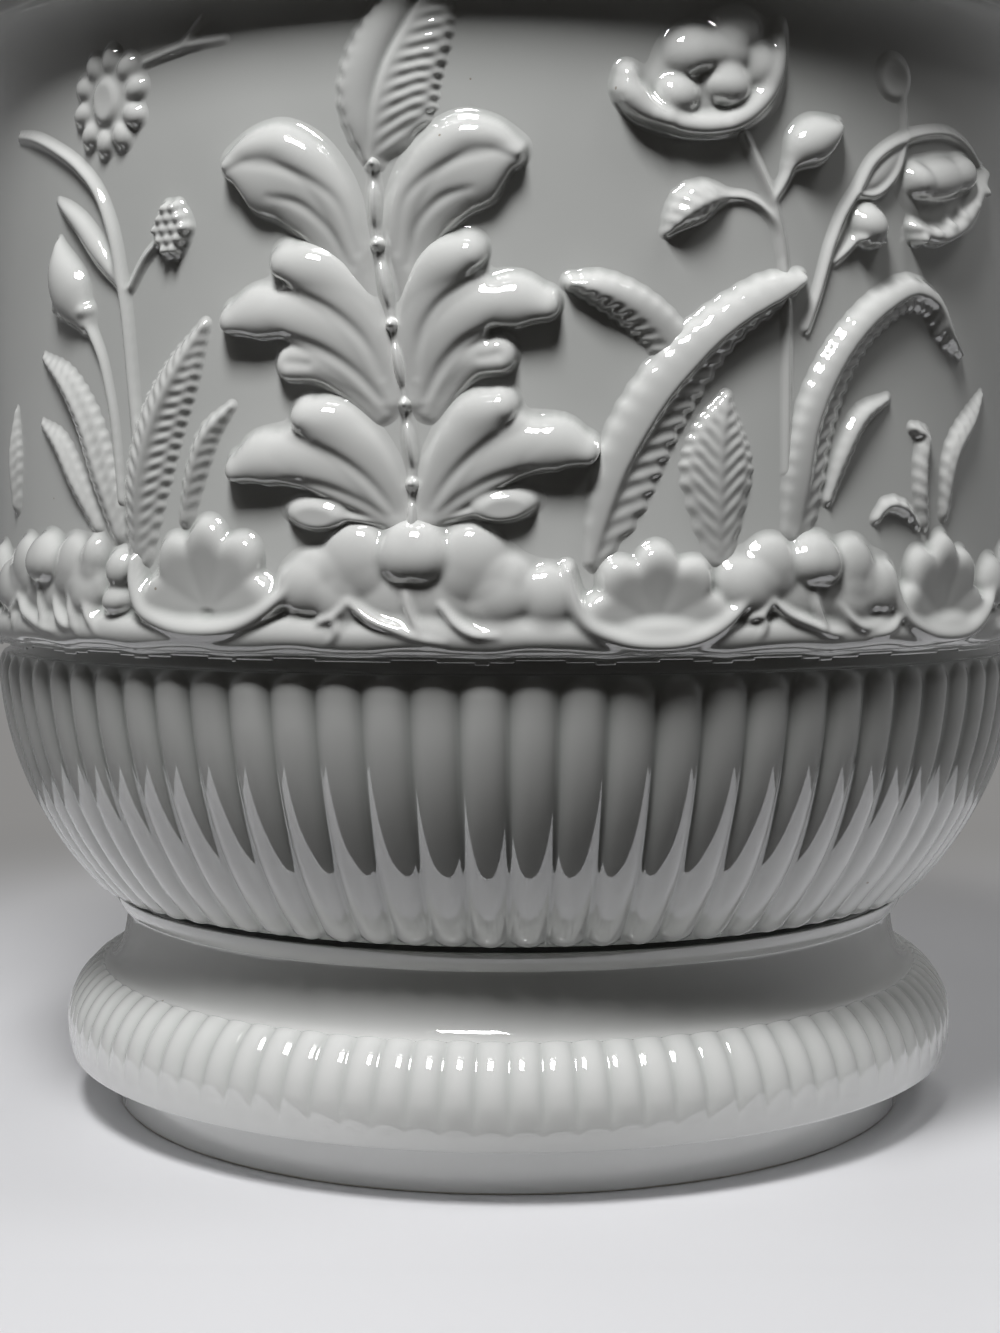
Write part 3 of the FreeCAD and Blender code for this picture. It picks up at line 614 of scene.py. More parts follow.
class Relief:
    """One sprig: ridges, domes, fans and cuts over the wall."""

    def __init__(self, name, droop=0.0, grid=GRID):
        self.name = name
        self.droop = droop
        self.grid = grid
        self.marks = []

    def mark(self, points, reach, shape, soft):
        """Keeps a shape with the box that it fills. Without a softness it cuts."""
        points = np.asarray(points, float)
        self.marks.append((points.min(0) - reach - MARGIN, points.max(0) + reach + MARGIN, shape, soft))

    def ridge(self, rows, power=0.5, soft=0.8, pinnae=None, teeth=(1.0, 1.0), step=0.0):
        """A lobe, frond or stem along a curve. Rows: across, up, half width (or left and right), rise.

        pinnae are the pitch, slant, depth and edge depth of side leaflets, teeth the share of each half
        that they take up from its edge, and step the share by which the right half lies lower."""
        curve = spline(rows)

        def height(across, up):
            along, share, half, rise = nearest(curve, across, up)
            side = abs(share)
            if pinnae:
                pitch, slant, depth, edge = pinnae
                reach = np.where(share > 0, *teeth)
                weight = np.minimum(TOOTH_FULL * reach, 1)
                wave = 0.5 - 0.5 * np.cos(2 * math.pi * (along - slant * side * half) / pitch)
                notch = 0.5 - 0.5 * np.cos(2 * math.pi * (along - slant * half) / pitch)
                side = side / (1 - edge * weight * notch)
                inner = np.clip((side - 1 + reach) / (TOOTH_FADE * reach + TINY), 0, 1)
                rise = rise * (1 - depth * weight * wave * inner)
            body = rise * np.clip(1 - side**2, 0, 1) ** power
            body = body * np.where(share < 0, 1 - step * (1 - np.exp(-((share * half / RIB) ** 2))), 1)
            return body - OUTSIDE_SLOPE * np.maximum(side - 1, 0) * half

        self.mark(curve[:, :2], curve[:, 2:4].max(), height, soft)

    def dome(self, centre, radii, rise, power=0.5, turn=0.0, hollow=None, soft=0.6):
        """A round lump, turned by an angle in degrees. hollow is a depth and the share it covers."""
        cosine, sine = math.cos(math.radians(turn)), math.sin(math.radians(turn))

        def height(across, up):
            x = ((across - centre[0]) * cosine + (up - centre[1]) * sine) / radii[0]
            y = ((up - centre[1]) * cosine - (across - centre[0]) * sine) / radii[1]
            out = np.hypot(x, y)
            body = rise * np.clip(1 - out**2, 0, 1) ** power
            if hollow:
                body = body - hollow[0] * np.clip(1 - (out / hollow[1]) ** 2, 0, 1)
            return body - OUTSIDE_SLOPE * np.maximum(out - 1, 0) * min(radii)

        self.mark([centre], max(radii), height, soft)

    def fan(self, hinge, half, tall, soft=0.6):
        """An open shell over its hinge: a hollow basin, ribs that spread, and a raised scalloped edge."""

        def height(across, up):
            x = (across - hinge[0]) / half
            y = (up - hinge[1]) / tall
            angle = np.arctan2(x, y)
            lobe = abs(np.cos(math.pi * angle * FAN_LOBES / (2 * FAN_SPREAD)))
            out = np.hypot(x, y) / (1 - FAN_NOTCH * (1 - lobe))
            basin = FAN_FLOOR + FAN_CLIMB * np.minimum(out, 1) ** FAN_POWER
            brim = np.maximum(out - FAN_BRIM, 0) / (1 - FAN_BRIM)
            body = basin + FAN_RIB * out * (lobe - FAN_RIB_LEVEL)
            body = body * np.sqrt(np.clip(1 - brim**2, 0, 1))
            beside = np.maximum(abs(angle) - FAN_SPREAD, 0) * half
            return body - OUTSIDE_SLOPE * (np.maximum(out - 1, 0) * half + beside)

        self.mark([hinge], max(half, tall), height, soft)

    def cut(self, rows):
        """A groove along a curve. Rows: across, up, half width, depth."""
        curve = spline(rows)

        def depth(across, up):
            share, deep = nearest(curve, across, up)[[1, 3]]
            return deep * np.exp(-((CUT_SHARP * share) ** 2))

        self.mark(curve[:, :2], curve[:, 2:4].max(), depth, None)

    def heights(self):
        """The places on the grid and the height at each."""
        low = np.min([mark[0] for mark in self.marks], 0)
        high = np.max([mark[1] for mark in self.marks], 0)
        steps_across = np.arange(low[0], high[0], self.grid)
        steps_up = np.arange(low[1], high[1], self.grid)
        across, up = np.meshgrid(steps_across, steps_up)
        rise = np.full(across.shape, -MARGIN)
        for start, end, shape, soft in self.marks:
            columns = slice(*np.searchsorted(steps_across, (start[0], end[0])))
            rows = slice(*np.searchsorted(steps_up, (start[1], end[1])))
            window = (rows, columns)
            values = shape(across[window], up[window])
            if soft is None:
                rise[window] -= np.where(rise[window] > 0, np.minimum(values, rise[window]), 0)
            else:
                rise[window] = join(rise[window], values, soft)
        melted = blurred(blurred(np.maximum(rise, -MELT_FLOOR), 1), 1)
        return across, up, join(melted, np.full_like(rise, -SKIRT), FILLET)

    def place(self):
        """The sprig in each panel round the pot."""
        mesh = sprig_mesh(self)
        for panel in range(PANELS):
            node = f"{self.name}_{panel + 1}"
            turned = mesh.copy()
            turned.transform(Matrix.Rotation(2 * math.pi * panel / PANELS, 4, "Z"))
            piece_of("sprig_" + node, turned, "relief_porcelain", node, "pot")
        print(self.name, "faces:", len(mesh.polygons))


print("relief tools ready")

# %% The mesh of a sprig
PROUD = -0.078
SUNK = 0.8
POOL_AND_SHADE_REACH, POOL_AND_SHADE_DEPTH = 4, 0.9
UNWRAP_SIZE = 2.02


def sprig_mesh(relief):
    """A closed mesh: the relief, its back just inside the wall, and the edge between."""
    across, up, rise = relief.heights()
    proud = rise > PROUD
    cells = proud[:-1, :-1] | proud[1:, :-1] | proud[:-1, 1:] | proud[1:, 1:]
    used = np.zeros(rise.shape, bool)
    for rows in (slice(None, -1), slice(1, None)):
        for columns in (slice(None, -1), slice(1, None)):
            used[rows, columns] |= cells
    count = int(used.sum())
    number = np.full(rise.shape, -1)
    number[used] = np.arange(count)
    # Darker where the relief lies lower than its surroundings, in folds and at its foot: partly pooled
    # glaze, partly painted shade.
    pool_and_shade = np.clip((blurred(np.maximum(rise, 0), POOL_AND_SHADE_REACH) - rise) / POOL_AND_SHADE_DEPTH, 0, 1)
    across, up, rise, pool_and_shade = across[used], up[used], rise[used], pool_and_shade[used]
    lowered = up - relief.droop * np.maximum(rise, 0)
    front = np.column_stack([across, lowered, wall_radius(up) + rise])
    back = np.column_stack([across, up, wall_radius(up) - SUNK])
    both = np.vstack([front, back])
    angle = both[:, 0] / WALL_RADIUS
    points = np.column_stack([both[:, 2] * np.sin(angle), -both[:, 2] * np.cos(angle), both[:, 1]])
    a, b, c, d = number[:-1, :-1], number[:-1, 1:], number[1:, 1:], number[1:, :-1]
    faces = [np.stack([a, b, c, d], -1)[cells], np.stack([d, c, b, a], -1)[cells] + count]
    padded = np.pad(cells, 1)
    for start, end, other in (
        (a, b, padded[:-2, 1:-1]), (b, c, padded[1:-1, 2:]),
        (c, d, padded[2:, 1:-1]), (d, a, padded[1:-1, :-2]),
    ):
        rim = cells & ~other
        faces.append(np.stack([end[rim], start[rim], start[rim] + count, end[rim] + count], -1))
    faces = np.vstack(faces)
    size = max(np.ptp(across), np.ptp(up)) * UNWRAP_SIZE
    flat = np.column_stack([across - across.min(), up - up.min()]) / size
    flat = np.vstack([flat, flat + 0.5])
    return mesh_of(relief.name, points, faces, np.concatenate([pool_and_shade, np.zeros(count)]), flat[faces])


print(f"relief is kept above {PROUD} mm, its back lies {SUNK} mm inside the wall")

# %% [markdown]
# ## The acanthus plant
# It stands left of the front's middle: a thin beaded stem, a plume at its top, and three pairs of
# leaves. A leaf lies flush with the wall at its root and swells into thick rounded tips, with soft
# folds between. Leaves to the right of the stem mirror those to its left, a little shorter.

# %% Acanthus stem and plume
STEM = ((-21.1, 160.5), (-21.1, 174.0), (-23.0, 189.4), (-26.0, 206.2), (-29.2, 224.5), (-29.6, 240.0))
STEM_PITCH = 17.3
STEM_HALF, STEM_RISE, STEM_GRID = 0.75, 1.0, 0.3
BALL_RADIUS, BALL_RISE, BALL_SOFT = 1.5, 2.8, 0.2
BUD_HALF, BUD_LENGTH, BUD_RISE = 1.3, 5.6, 2.4


def stem_across(up):
    """Where the stem is, at a height."""
    return np.interp(up, [place[1] for place in STEM], [place[0] for place in STEM])


stem = Relief("acanthus_stem", grid=STEM_GRID)
stem.ridge([(across, up, STEM_HALF, STEM_RISE) for across, up in STEM])
for joint in np.arange(STEM[0][1] - STEM_PITCH / 2, STEM[-1][1], STEM_PITCH / 2)[1:]:
    place = (stem_across(joint), joint)
    ball = round((joint - STEM[0][1]) / (STEM_PITCH / 2)) % 2
    if ball:
        stem.dome(place, (BALL_RADIUS, BALL_RADIUS), BALL_RISE, soft=BALL_SOFT)
    else:
        lean = math.degrees((stem_across(joint - 1) - stem_across(joint + 1)) / 2)
        stem.dome(place, (BUD_HALF, BUD_LENGTH), BUD_RISE, turn=lean, soft=BALL_SOFT)
stem.place()

plume = Relief("acanthus_plume", droop=0.2, grid=FINE_GRID)
plume.ridge(
    [(-30.8, 239.5, 1, 0.8), (-32.6, 246.5, 3.2, 2.2), (-33, 253.4, 4.6, 2.8), (-31, 261.4, 5, 3.2),
     (-27.2, 268.4, 4.6, 3.2), (-22.4, 274.6, 3.4, 2.6), (-17.6, 279, 1.2, 1.4)],
    pinnae=(3.3, 0.6, 0.3, 0.12), teeth=(0.45, 0.0), power=0.45,
)
plume.ridge(
    [(-29.9, 239.6, 0.8, 3, 1), (-29.4, 243, 1.2, 7.6, 1.8), (-28.9, 247, 1.5, 10.4, 2.4),
     (-28, 251.8, 1.6, 12.2, 2.9), (-25.6, 259.1, 1.7, 11.6, 3.1), (-21.2, 267.4, 1.7, 9.6, 3),
     (-17.6, 273.8, 1.5, 7, 2.6), (-13.6, 279.4, 1, 2, 1.6)],
    pinnae=(3.6, 0.85, 0.24, 0.09), teeth=(0.0, 1.0), power=0.42, soft=0.6,
)
plume.place()

# %% Acanthus leaves
RIGHT_REACH = 0.93
LEAF_DROOP = 0.42
LEAF_LENGTH = 45.0
FOLD_SOFT = 2.4
LOBE_POWER = 0.42
UPPER_LEAF = (
    ((5.4, 208, 1.8, 0.2), (8, 221, 5.4, 1.6), (13, 231, 8.6, 3.1), (19.5, 236.8, 9.8, 4.2),
     (26, 238.4, 8.8, 4.7), (32, 239.8, 3.4, 4.2)),
    ((5, 208, 1.4, 0.2), (6.4, 226, 2.8, 1.8), (10.4, 235.5, 3.6, 3.2), (15.6, 241.6, 4, 4.3),
     (21.4, 244.8, 3.8, 4.8), (28, 244.4, 3, 4.7), (33.8, 241.2, 1.7, 4.1)),
)
MIDDLE_LEAF = (
    ((4, 190, 3.4, 0.2), (9.5, 199, 8, 2), (15, 205, 9.5, 3.1), (20.5, 208, 8, 3.5), (26, 208.5, 3.4, 3.2)),
    ((2.6, 188, 1.8, 0.2), (5.8, 203.5, 4.4, 1.8), (10.5, 211.6, 5.4, 3.5), (16.1, 216.8, 5.6, 4.9),
     (20.8, 218.8, 4.3, 5.2)),
    ((4.4, 186, 1.8, 0.2), (9.6, 197, 4.4, 1.8), (15.6, 202.8, 4.8, 3.1), (22.9, 206.8, 5, 4.4),
     (30.4, 207.8, 5.8, 5.2), (36.2, 206.9, 3.7, 5)),
    ((6, 184.5, 1.5, 0.2), (12.5, 191.6, 3, 1.4), (17.9, 195.3, 3.6, 2.8), (23.6, 196.5, 4.3, 4.2)),
)
LOWER_LEAF = (
    ((3.5, 163, 3.4, 0.2), (10, 170, 8, 2), (16.5, 175.4, 9.5, 3.1), (22.5, 178, 8, 3.5),
     (28.5, 178.4, 3.4, 3.2)),
    ((2.6, 161, 1.8, 0.2), (7.6, 171, 4.4, 1.8), (12.6, 178.6, 5.4, 3.5), (18.2, 183.6, 5.4, 4.9),
     (22.2, 185.2, 4, 5.2)),
    ((3.6, 160.5, 1.5, 0.2), (11.9, 167.6, 3.8, 1.8), (19.9, 172.2, 4.8, 3.2), (27.8, 175, 5.4, 4.6),
     (34.8, 175.6, 5.8, 5.2), (40.2, 174, 3.6, 5)),
)
UPPER_FOLDS = (
    ((4.5, 220, 1.2, 0.2), (8.7, 232.6, 1.5, 0.4), (14.6, 237.2, 1.6, 0.4), (21.4, 240.2, 1.5, 0.3),
     (28, 241.2, 1.2, 0.1)),
    ((6.5, 217, 1.2, 0.2), (11, 226.5, 1.4, 0.4), (17, 231.8, 1.5, 0.5), (23, 233.6, 1.2, 0.2)),
)
MIDDLE_FOLDS = (
    ((4, 193, 1.2, 0.2), (7, 202.5, 1.5, 0.4), (12.4, 208.6, 1.5, 0.5), (18.4, 212.6, 1.2, 0.3)),
    ((5, 188, 1.2, 0.2), (10.5, 195.5, 1.5, 0.4), (17, 200.6, 1.5, 0.5), (24, 203.6, 1.2, 0.3)),
    ((23.8, 197.4, 1.9, 0.7), (19.5, 196.6, 1.3, 0.4)),
)
LOWER_FOLDS = (
    ((4, 163, 1.2, 0.2), (9, 170.5, 1.5, 0.4), (14.5, 175.6, 1.5, 0.5), (20, 179.4, 1.2, 0.3)),
    ((5.5, 162.5, 1.2, 0.2), (12, 166.6, 1.5, 0.4), (20, 170.2, 1.5, 0.5), (28, 171.8, 1.2, 0.3)),
)
SPOON = (21.5, 163.4, 7.6, 3.8, 4.0)
SPOON_HOLLOW, SPOON_TURN = (0.8, 0.6), 6
SPOON_TAIL = ((6, 160.8, 0.6, 0.5), (11, 161.8, 0.9, 1.4), (16, 163, 1.4, 2.2))


def acanthus_leaf(title, lobes, folds, side, lift):
    """A leaf of several lobes, flush at the stem and thick at the tips, with soft folds along them.

    side is -1 to the left of the stem and 1 to its right, where the tips are lifted."""

    def placed(rows):
        """Rows that start with a distance from the stem and a height, set on their side of it."""
        if side < 0:
            return [(stem_across(up) - away, up, *rest) for away, up, *rest in rows]
        return [
            (stem_across(up) + RIGHT_REACH * away, up + lift * away / LEAF_LENGTH, *rest)
            for away, up, *rest in rows
        ]

    word = "left" if side < 0 else "right"
    leaf = Relief(f"{title}_leaf_{word}", droop=LEAF_DROOP, grid=FINE_GRID)
    for lobe in lobes:
        leaf.ridge(placed(lobe), power=LOBE_POWER, soft=FOLD_SOFT)
    for fold in folds:
        leaf.cut(placed(fold))
    if title == "lower":
        across, up, half, tall, rise = placed([SPOON])[0]
        leaf.dome((across, up), (half, tall), rise, hollow=SPOON_HOLLOW, turn=side * SPOON_TURN)
        leaf.ridge(placed(SPOON_TAIL))
    return leaf


LEAVES = (
    ("upper", UPPER_LEAF, UPPER_FOLDS, 0.6), ("middle", MIDDLE_LEAF, MIDDLE_FOLDS, 2.0),
    ("lower", LOWER_LEAF, LOWER_FOLDS, 3.6),
)

for title, lobes, folds, lift in LEAVES:
    for side in (-1, 1):
        acanthus_leaf(title, lobes, folds, side, lift).place()

# %% [markdown]
# ## Fronds and ferns
# A frond has a rib along its middle and leaflets that slant away from it to a toothed edge. The half
# to the right of the rib lies lower. The palm frond is broad and plain on its upper side. The
# drooping frond arches over and hangs its tip. The ferns are lower and finer, so they sit back.

# %% Fronds to the right
ONE_SIDE, BOTH_SIDES = (0.26, 0.9), (0.9, 0.9)

palm = Relief("palm_frond", droop=0.3, grid=FINE_GRID)
palm.ridge(
    [(18.2, 152.6, 1.5, 2.5, 1), (21.4, 163.3, 4.4, 7.2, 2), (25.1, 173, 6.4, 8.2, 2.8),
     (29.8, 181.8, 7.3, 7.6, 3.4), (35, 189.8, 7.2, 7, 3.9), (40.2, 195.9, 7.1, 6, 4.2),
     (45.1, 201.1, 6.4, 5, 4.5), (52, 206.5, 5.8, 3.8, 4.6), (61.6, 212.1, 4.8, 3, 4.5),
     (67, 215.2, 2.4, 1.6, 3.8)],
    power=0.4, pinnae=(4.6, 0.7, 0.32, 0.15), teeth=ONE_SIDE, step=0.4,
)
palm.place()

arched = Relief("arched_frond", droop=0.3, grid=FINE_GRID)
arched.ridge(
    [(37, 199.5, 5, 4.5, 1.2), (31, 205.5, 5.4, 4.4, 2.6), (25, 209.6, 4.8, 4, 3.8),
     (18.5, 212.2, 3.6, 3.2, 4.4), (13.4, 213, 1.6, 1.6, 3.4)],
    power=0.42, pinnae=(3.4, 0.6, 0.3, 0.14), teeth=(0.8, 0.26),
)
arched.place()

broad = Relief("broad_fern", grid=FINE_GRID)
broad.ridge(
    [(47.5, 154.5, 3.4, 3.4, 0.8), (47, 164, 6.6, 6.4, 1.9), (46.9, 173, 8.6, 8.4, 2.5),
     (47.5, 182, 5.8, 5.8, 2.5), (48.8, 188.5, 1.4, 1.4, 1.8)],
    power=0.4, pinnae=(3.4, 1.0, 0.22, 0.1), step=0.1,
)
broad.place()

drooping = Relief("drooping_frond", droop=0.3, grid=FINE_GRID)
drooping.ridge(
    [(67.5, 160, 4, 4, 1), (69, 170, 5.4, 5.4, 2.2), (71, 183, 5, 6, 3), (75, 193, 4.6, 5.8, 3.4),
     (82, 203.2, 4, 5.2, 3.7), (91, 210.8, 3.8, 4.8, 3.8), (101, 215, 3.6, 4.4, 3.8),
     (108.5, 213, 3.4, 3.8, 3.6), (114.5, 206, 2.8, 3, 3.4), (121.5, 201.8, 1, 1, 1.8)],
    power=0.4, pinnae=(3.9, 0.7, 0.32, 0.15), teeth=ONE_SIDE, step=0.35,
)
drooping.ridge(
    [(75.7, 166.2, 1.2, 1.2), (80.1, 177.2, 2.4, 2.4), (85.4, 185.5, 2.4, 2.6), (93.8, 189.9, 0.8, 1.2)],
    pinnae=(3, 0.6, 0.3, 0.15), teeth=ONE_SIDE, step=0.25,
)
drooping.place()

# %% Ferns
FERN_PINNAE = (3.2, 0.8, 0.24, 0.12)
FERNS = (
    ((-98.3, 158.5, 2.5, 1.2), (-103.2, 171.5, 4.4, 2.6), (-110.4, 186.8, 4.4, 3),
     (-117.7, 195.2, 3.4, 2.8), (-128.6, 201.5, 0.8, 1.2)),
    ((-106.1, 160.2, 1.8, 1), (-114.5, 171.8, 3.2, 2.2), (-121.3, 180.5, 2.8, 2.2),
     (-130.1, 185.6, 0.7, 1)),
    ((-91.2, 154.5, 4, 1.6), (-88.6, 171.2, 7, 3.6), (-84.3, 183.3, 7, 4), (-77.6, 195.2, 5, 3.6),
     (-71, 205.6, 1, 1.6)),
    ((-77, 161.7, 1.6, 1.2), (-73.9, 173, 2.8, 2.4), (-70.3, 180.9, 2.6, 2.4), (-64.1, 187.1, 0.7, 1)),
    ((-147, 166, 2.4, 1.4), (-146.8, 179, 3.4, 2.2), (-146, 189.5, 0.8, 1)),
    ((107.8, 161, 1.6, 1.2), (106.2, 168.7, 2.4, 2.2), (106.1, 176.3, 2.4, 2.4), (106.8, 181.5, 2.4, 2.4),
     (102.6, 183.4, 1.2, 1.6)),
    ((115.7, 163.5, 2, 1.2), (119.3, 178.8, 3.2, 2.6), (126.8, 186.4, 2.8, 2.4), (133.2, 192.8, 0.8, 1)),
    ((90.2, 161.8, 1, 1.2), (93.7, 165.2, 1.5, 2), (99.8, 164.5, 1.7, 2), (105.1, 160.3, 1, 1.2)),
)

ferns = Relief("ferns", droop=0.15, grid=FINE_GRID)
for rows in FERNS:
    ferns.ridge(rows, pinnae=FERN_PINNAE, teeth=BOTH_SIDES, step=0.2)
ferns.place()

# %% [markdown]
# ## Flowers, berries and buds
# A rose opens in its cup, a bellflower hangs from an arched stem, and a daisy is a ring of beads
# round a hollow eye. Thin stems carry them. Berries are little heaps of beads.

# %% Rose
ROSE_PETALS = (
    ((40.4, 263.6), (7, 5.8), 4.4, 15), ((47.8, 264.4), (6, 5.2), 3.6, 0), ((36.6, 254), (5, 4.6), 4.4, 0),
    ((48.3, 257), (5.6, 5), 4.8, -10), ((57, 261.6), (4.2, 5), 3.4, 0), ((50.3, 269.5), (6.4, 4.2), 2.6, 0),
)

rose = Relief("rose", droop=0.35)
rose.dome((46, 257), (15, 10), 1.6, power=0.4)
rose.ridge(
    [(25.6, 257.8, 2.6, 3.4), (25.8, 254.8, 3.6, 4.6), (28.4, 251.4, 3.6, 4.8), (33.5, 249, 2.8, 4.4)],
    soft=2,
)
rose.ridge(
    [(32, 249.6, 2.8, 4.2), (38, 248, 2.9, 4.4), (44.5, 248, 2.9, 4.4), (50.4, 249.8, 2.9, 4.4),
     (55.6, 253.6, 2.7, 4), (59.4, 258.8, 2.4, 3.4), (61.2, 265, 2, 2.4), (61.4, 270.5, 1.6, 1)],
    soft=2.2,
)
for centre, radii, rise, turn in ROSE_PETALS:
    rose.dome(centre, radii, rise, turn=turn, soft=2.6)
for rows in (
    ((39.8, 258.2, 1.6, 0.6), (42, 258.8, 2.2, 1.5), (44.2, 259.6, 1.6, 0.6)),
    ((46, 253.4, 1.4, 0.4), (46.4, 252.2, 2, 0.8), (47.6, 250, 1.4, 0.4)),
    ((31.6, 255.4, 1.4, 0.4), (32.2, 253.6, 2, 0.6), (33.2, 251.4, 1.4, 0.4)),
):
    rose.cut(rows)
rose.place()

rose_stem = Relief("rose_stem", droop=0.3)
for rows in (
    ((64.4, 172, 0.8, 1.1), (64.3, 190, 0.9, 1.3), (64, 206, 0.9, 1.3), (62.8, 221.5, 0.9, 1.4),
     (60, 232.2, 0.9, 1.5), (55.9, 240.4, 0.9, 1.5), (52.7, 246.4, 0.8, 1.3)),
    ((60.2, 232.2, 0.7, 1.1), (63.1, 237, 0.9, 1.6), (64.6, 240.6, 1.2, 2)),
    ((64.3, 240.4, 1.4, 1.8), (67.4, 244.2, 4.6, 4.4), (71.4, 247.2, 5, 5.2), (75.4, 249.6, 2.8, 4.4),
     (77.4, 250.7, 1, 3)),
    ((62.6, 221.5, 0.7, 1), (61.2, 226.6, 0.8, 1.3), (57.9, 230.4, 0.8, 1.4), (52.8, 232.6, 0.8, 1.4),
     (48.5, 232.5, 0.8, 1.4)),
):
    rose_stem.ridge(rows)
rose_stem.ridge(
    [(49, 232.6, 0.9, 1.4), (45, 232.3, 3.3, 3.4), (40, 230.2, 4.3, 4.4), (36.5, 226.8, 2.6, 3.6),
     (34.6, 224, 0.8, 1.8)],
    pinnae=(2.8, 0.6, 0.28, 0.06), teeth=BOTH_SIDES,
)
rose_stem.place()

# %% Bellflower
MOUTH_BEADS, MOUTH_START, MOUTH_PITCH = 6, 102.6, 5.2
MOUTH_LOWEST, MOUTH_CURVE, MOUTH_POWER = (101, 227.6), 0.115, 1.45
CUP_BEADS, CUP_START, CUP_PITCH, CUP_CURVE = 4, (83.6, 225.4), 2.1, 0.3

bell = Relief("bell_stem", droop=0.3)
bell.dome((114, 238.5), (16, 9), 2.0)
for rows in (
    ((68.9, 204.3, 0.9, 1.4), (71.8, 211.5, 0.9, 1.6), (76.5, 225.4, 1, 1.8), (79.4, 231.4, 1, 1.8),
     (83.1, 236.4, 1, 1.8), (87.8, 243.3, 1, 1.8), (93.5, 247.5, 1, 1.8), (98.7, 249.9, 1, 1.8),
     (106.2, 252.1, 1, 1.8), (116.6, 253, 1, 1.7), (125, 250.6, 0.9, 1.5), (130, 247.5, 0.8, 1.2)),
    ((84, 235.6, 0.8, 1.6), (87.9, 235.9, 0.8, 2), (93.6, 239.9, 0.9, 2.2), (97, 245, 0.8, 2),
     (98.7, 249.4, 0.7, 1.4)),
    ((84.5, 236.8, 0.8, 0.8), (89.5, 240, 2.4, 1.2), (94, 244, 2.4, 1.2), (97.5, 248.5, 0.8, 0.8)),
    ((101.4, 230, 1.8, 3.6), (107.7, 228.8, 2.4, 4.2), (117.1, 232.3, 2.7, 4.6), (124.1, 238.7, 2.6, 4.2),
     (131.5, 246.4, 1.6, 2.6)),
    ((76.5, 219.7, 0.7, 1.1), (79.8, 222.5, 0.9, 1.6), (83, 226, 1.2, 2.2)),
    ((98.9, 250.4, 0.6, 0.9), (98.4, 255, 0.6, 1), (97.8, 259.2, 0.6, 1)),
):
    bell.ridge(rows)
for centre, radii, rise, turn in (
    ((110.5, 242), (13, 5), 4.6, 14), ((102.5, 241), (4.6, 4.2), 4.8, 0), ((119.5, 244.6), (6, 4.6),
     4.6, 20),
    ((86.8, 229.2), (5, 4.8), 5, 0),
):
    bell.dome(centre, radii, rise, turn=turn, soft=1.4)
for place in range(MOUTH_BEADS):
    across = MOUTH_START + MOUTH_PITCH * place
    up = MOUTH_LOWEST[1] + MOUTH_CURVE * (across - MOUTH_LOWEST[0]) ** MOUTH_POWER
    bell.dome((across, up), (2.2, 2), 4.6, soft=0.8)
for place in range(CUP_BEADS):
    up = CUP_START[1] + CUP_CURVE * (place - (CUP_BEADS - 1) / 2) ** 2
    bell.dome((CUP_START[0] + CUP_PITCH * place, up), (1.3, 1.3), 4, soft=0.6)
bell.dome((94.7, 263.3), (5.2, 5), 1.4, hollow=(1.3, 0.84))
bell.place()

# %% Daisy
DAISY = (-99.9, 258.4)
DAISY_PETALS = 10
PETAL_OUT, PETAL_RADII, PETAL_RISE, PETAL_START = 9.4, (3.4, 2.9), 2.2, 0.3

daisy = Relief("daisy", droop=0.15)
daisy.dome(DAISY, (10, 10), 1.2)
for petal in range(DAISY_PETALS):
    angle = 2 * math.pi * (petal + PETAL_START) / DAISY_PETALS
    centre = (DAISY[0] + PETAL_OUT * math.cos(angle), DAISY[1] + PETAL_OUT * math.sin(angle))
    daisy.dome(centre, PETAL_RADII, PETAL_RISE, turn=math.degrees(angle), soft=0.5)
daisy.dome(DAISY, (4.6, 5.8), 2.8, power=0.35, hollow=(0.7, 0.7), soft=0.5)
daisy.ridge([(-88, 265.5, 0.8, 1.2), (-75.9, 267.5, 0.9, 1.4), (-65.1, 268, 0.5, 0.8)])
daisy.ridge([(-77.5, 267.3, 0.6, 0.9), (-74, 270, 0.7, 1.1), (-70.5, 273, 0.5, 0.8)])
daisy.place()

# %% Berry and buds
BERRY = (-79.8, 227.4)
BEAD_ROWS = (2, 3, 4, 3, 2)
BEAD_PITCH, BEAD_ROW, BEAD_RADIUS, BEAD_RISE = 2.6, 2.34, 1.6, 3.5

berry = Relief("berry_stem", droop=0.15)
for rows in (
    ((-90.4, 166, 1.2, 1.4), (-92.6, 189.6, 1.3, 1.8), (-96.3, 217.6, 1.3, 2), (-99.7, 230, 1.4, 2),
     (-104.4, 238.5, 1.3, 2), (-111.6, 244.9, 1.3, 1.9), (-120.4, 249.8, 1.2, 1.8), (-132, 254.3, 1.1, 1.6),
     (-141.1, 256.2, 0.8, 1.1)),
    ((-95.3, 215, 0.8, 1.4), (-102.9, 223.3, 2.4, 2.4), (-111.9, 232.3, 2.2, 2.3),
     (-117.2, 235.9, 1.4, 1.6), (-120.7, 237.9, 0.5, 0.9)),
    ((-97.4, 166, 0.9, 1.2), (-100.7, 190, 0.9, 1.4), (-104, 200.5, 1, 1.6), (-108, 207.5, 1.2, 1.9)),
    ((-109.5, 208.8, 3, 2.2), (-114.5, 215, 6.4, 4.4), (-118.5, 222.5, 4.6, 4), (-120.3, 228.4, 0.9, 1.6)),
    ((-93.2, 215.2, 0.8, 1.3), (-87, 222.6, 0.9, 1.6), (-83.5, 225, 0.9, 1.6)),
):
    berry.ridge(rows)
berry.dome((-109, 211), (2.6, 2.2), 3)
berry.dome((-119.4, 212.6), (2.6, 2.4), 3)
berry.dome(BERRY, (5.2, 5.6), 1.8)
for row, beads in enumerate(BEAD_ROWS):
    up = BERRY[1] + (row - (len(BEAD_ROWS) - 1) / 2) * BEAD_ROW
    for place in range(beads):
        across = BERRY[0] + (place - (beads - 1) / 2) * BEAD_PITCH
        berry.dome((across, up), (BEAD_RADIUS, BEAD_RADIUS), BEAD_RISE, soft=0.25)
berry.place()

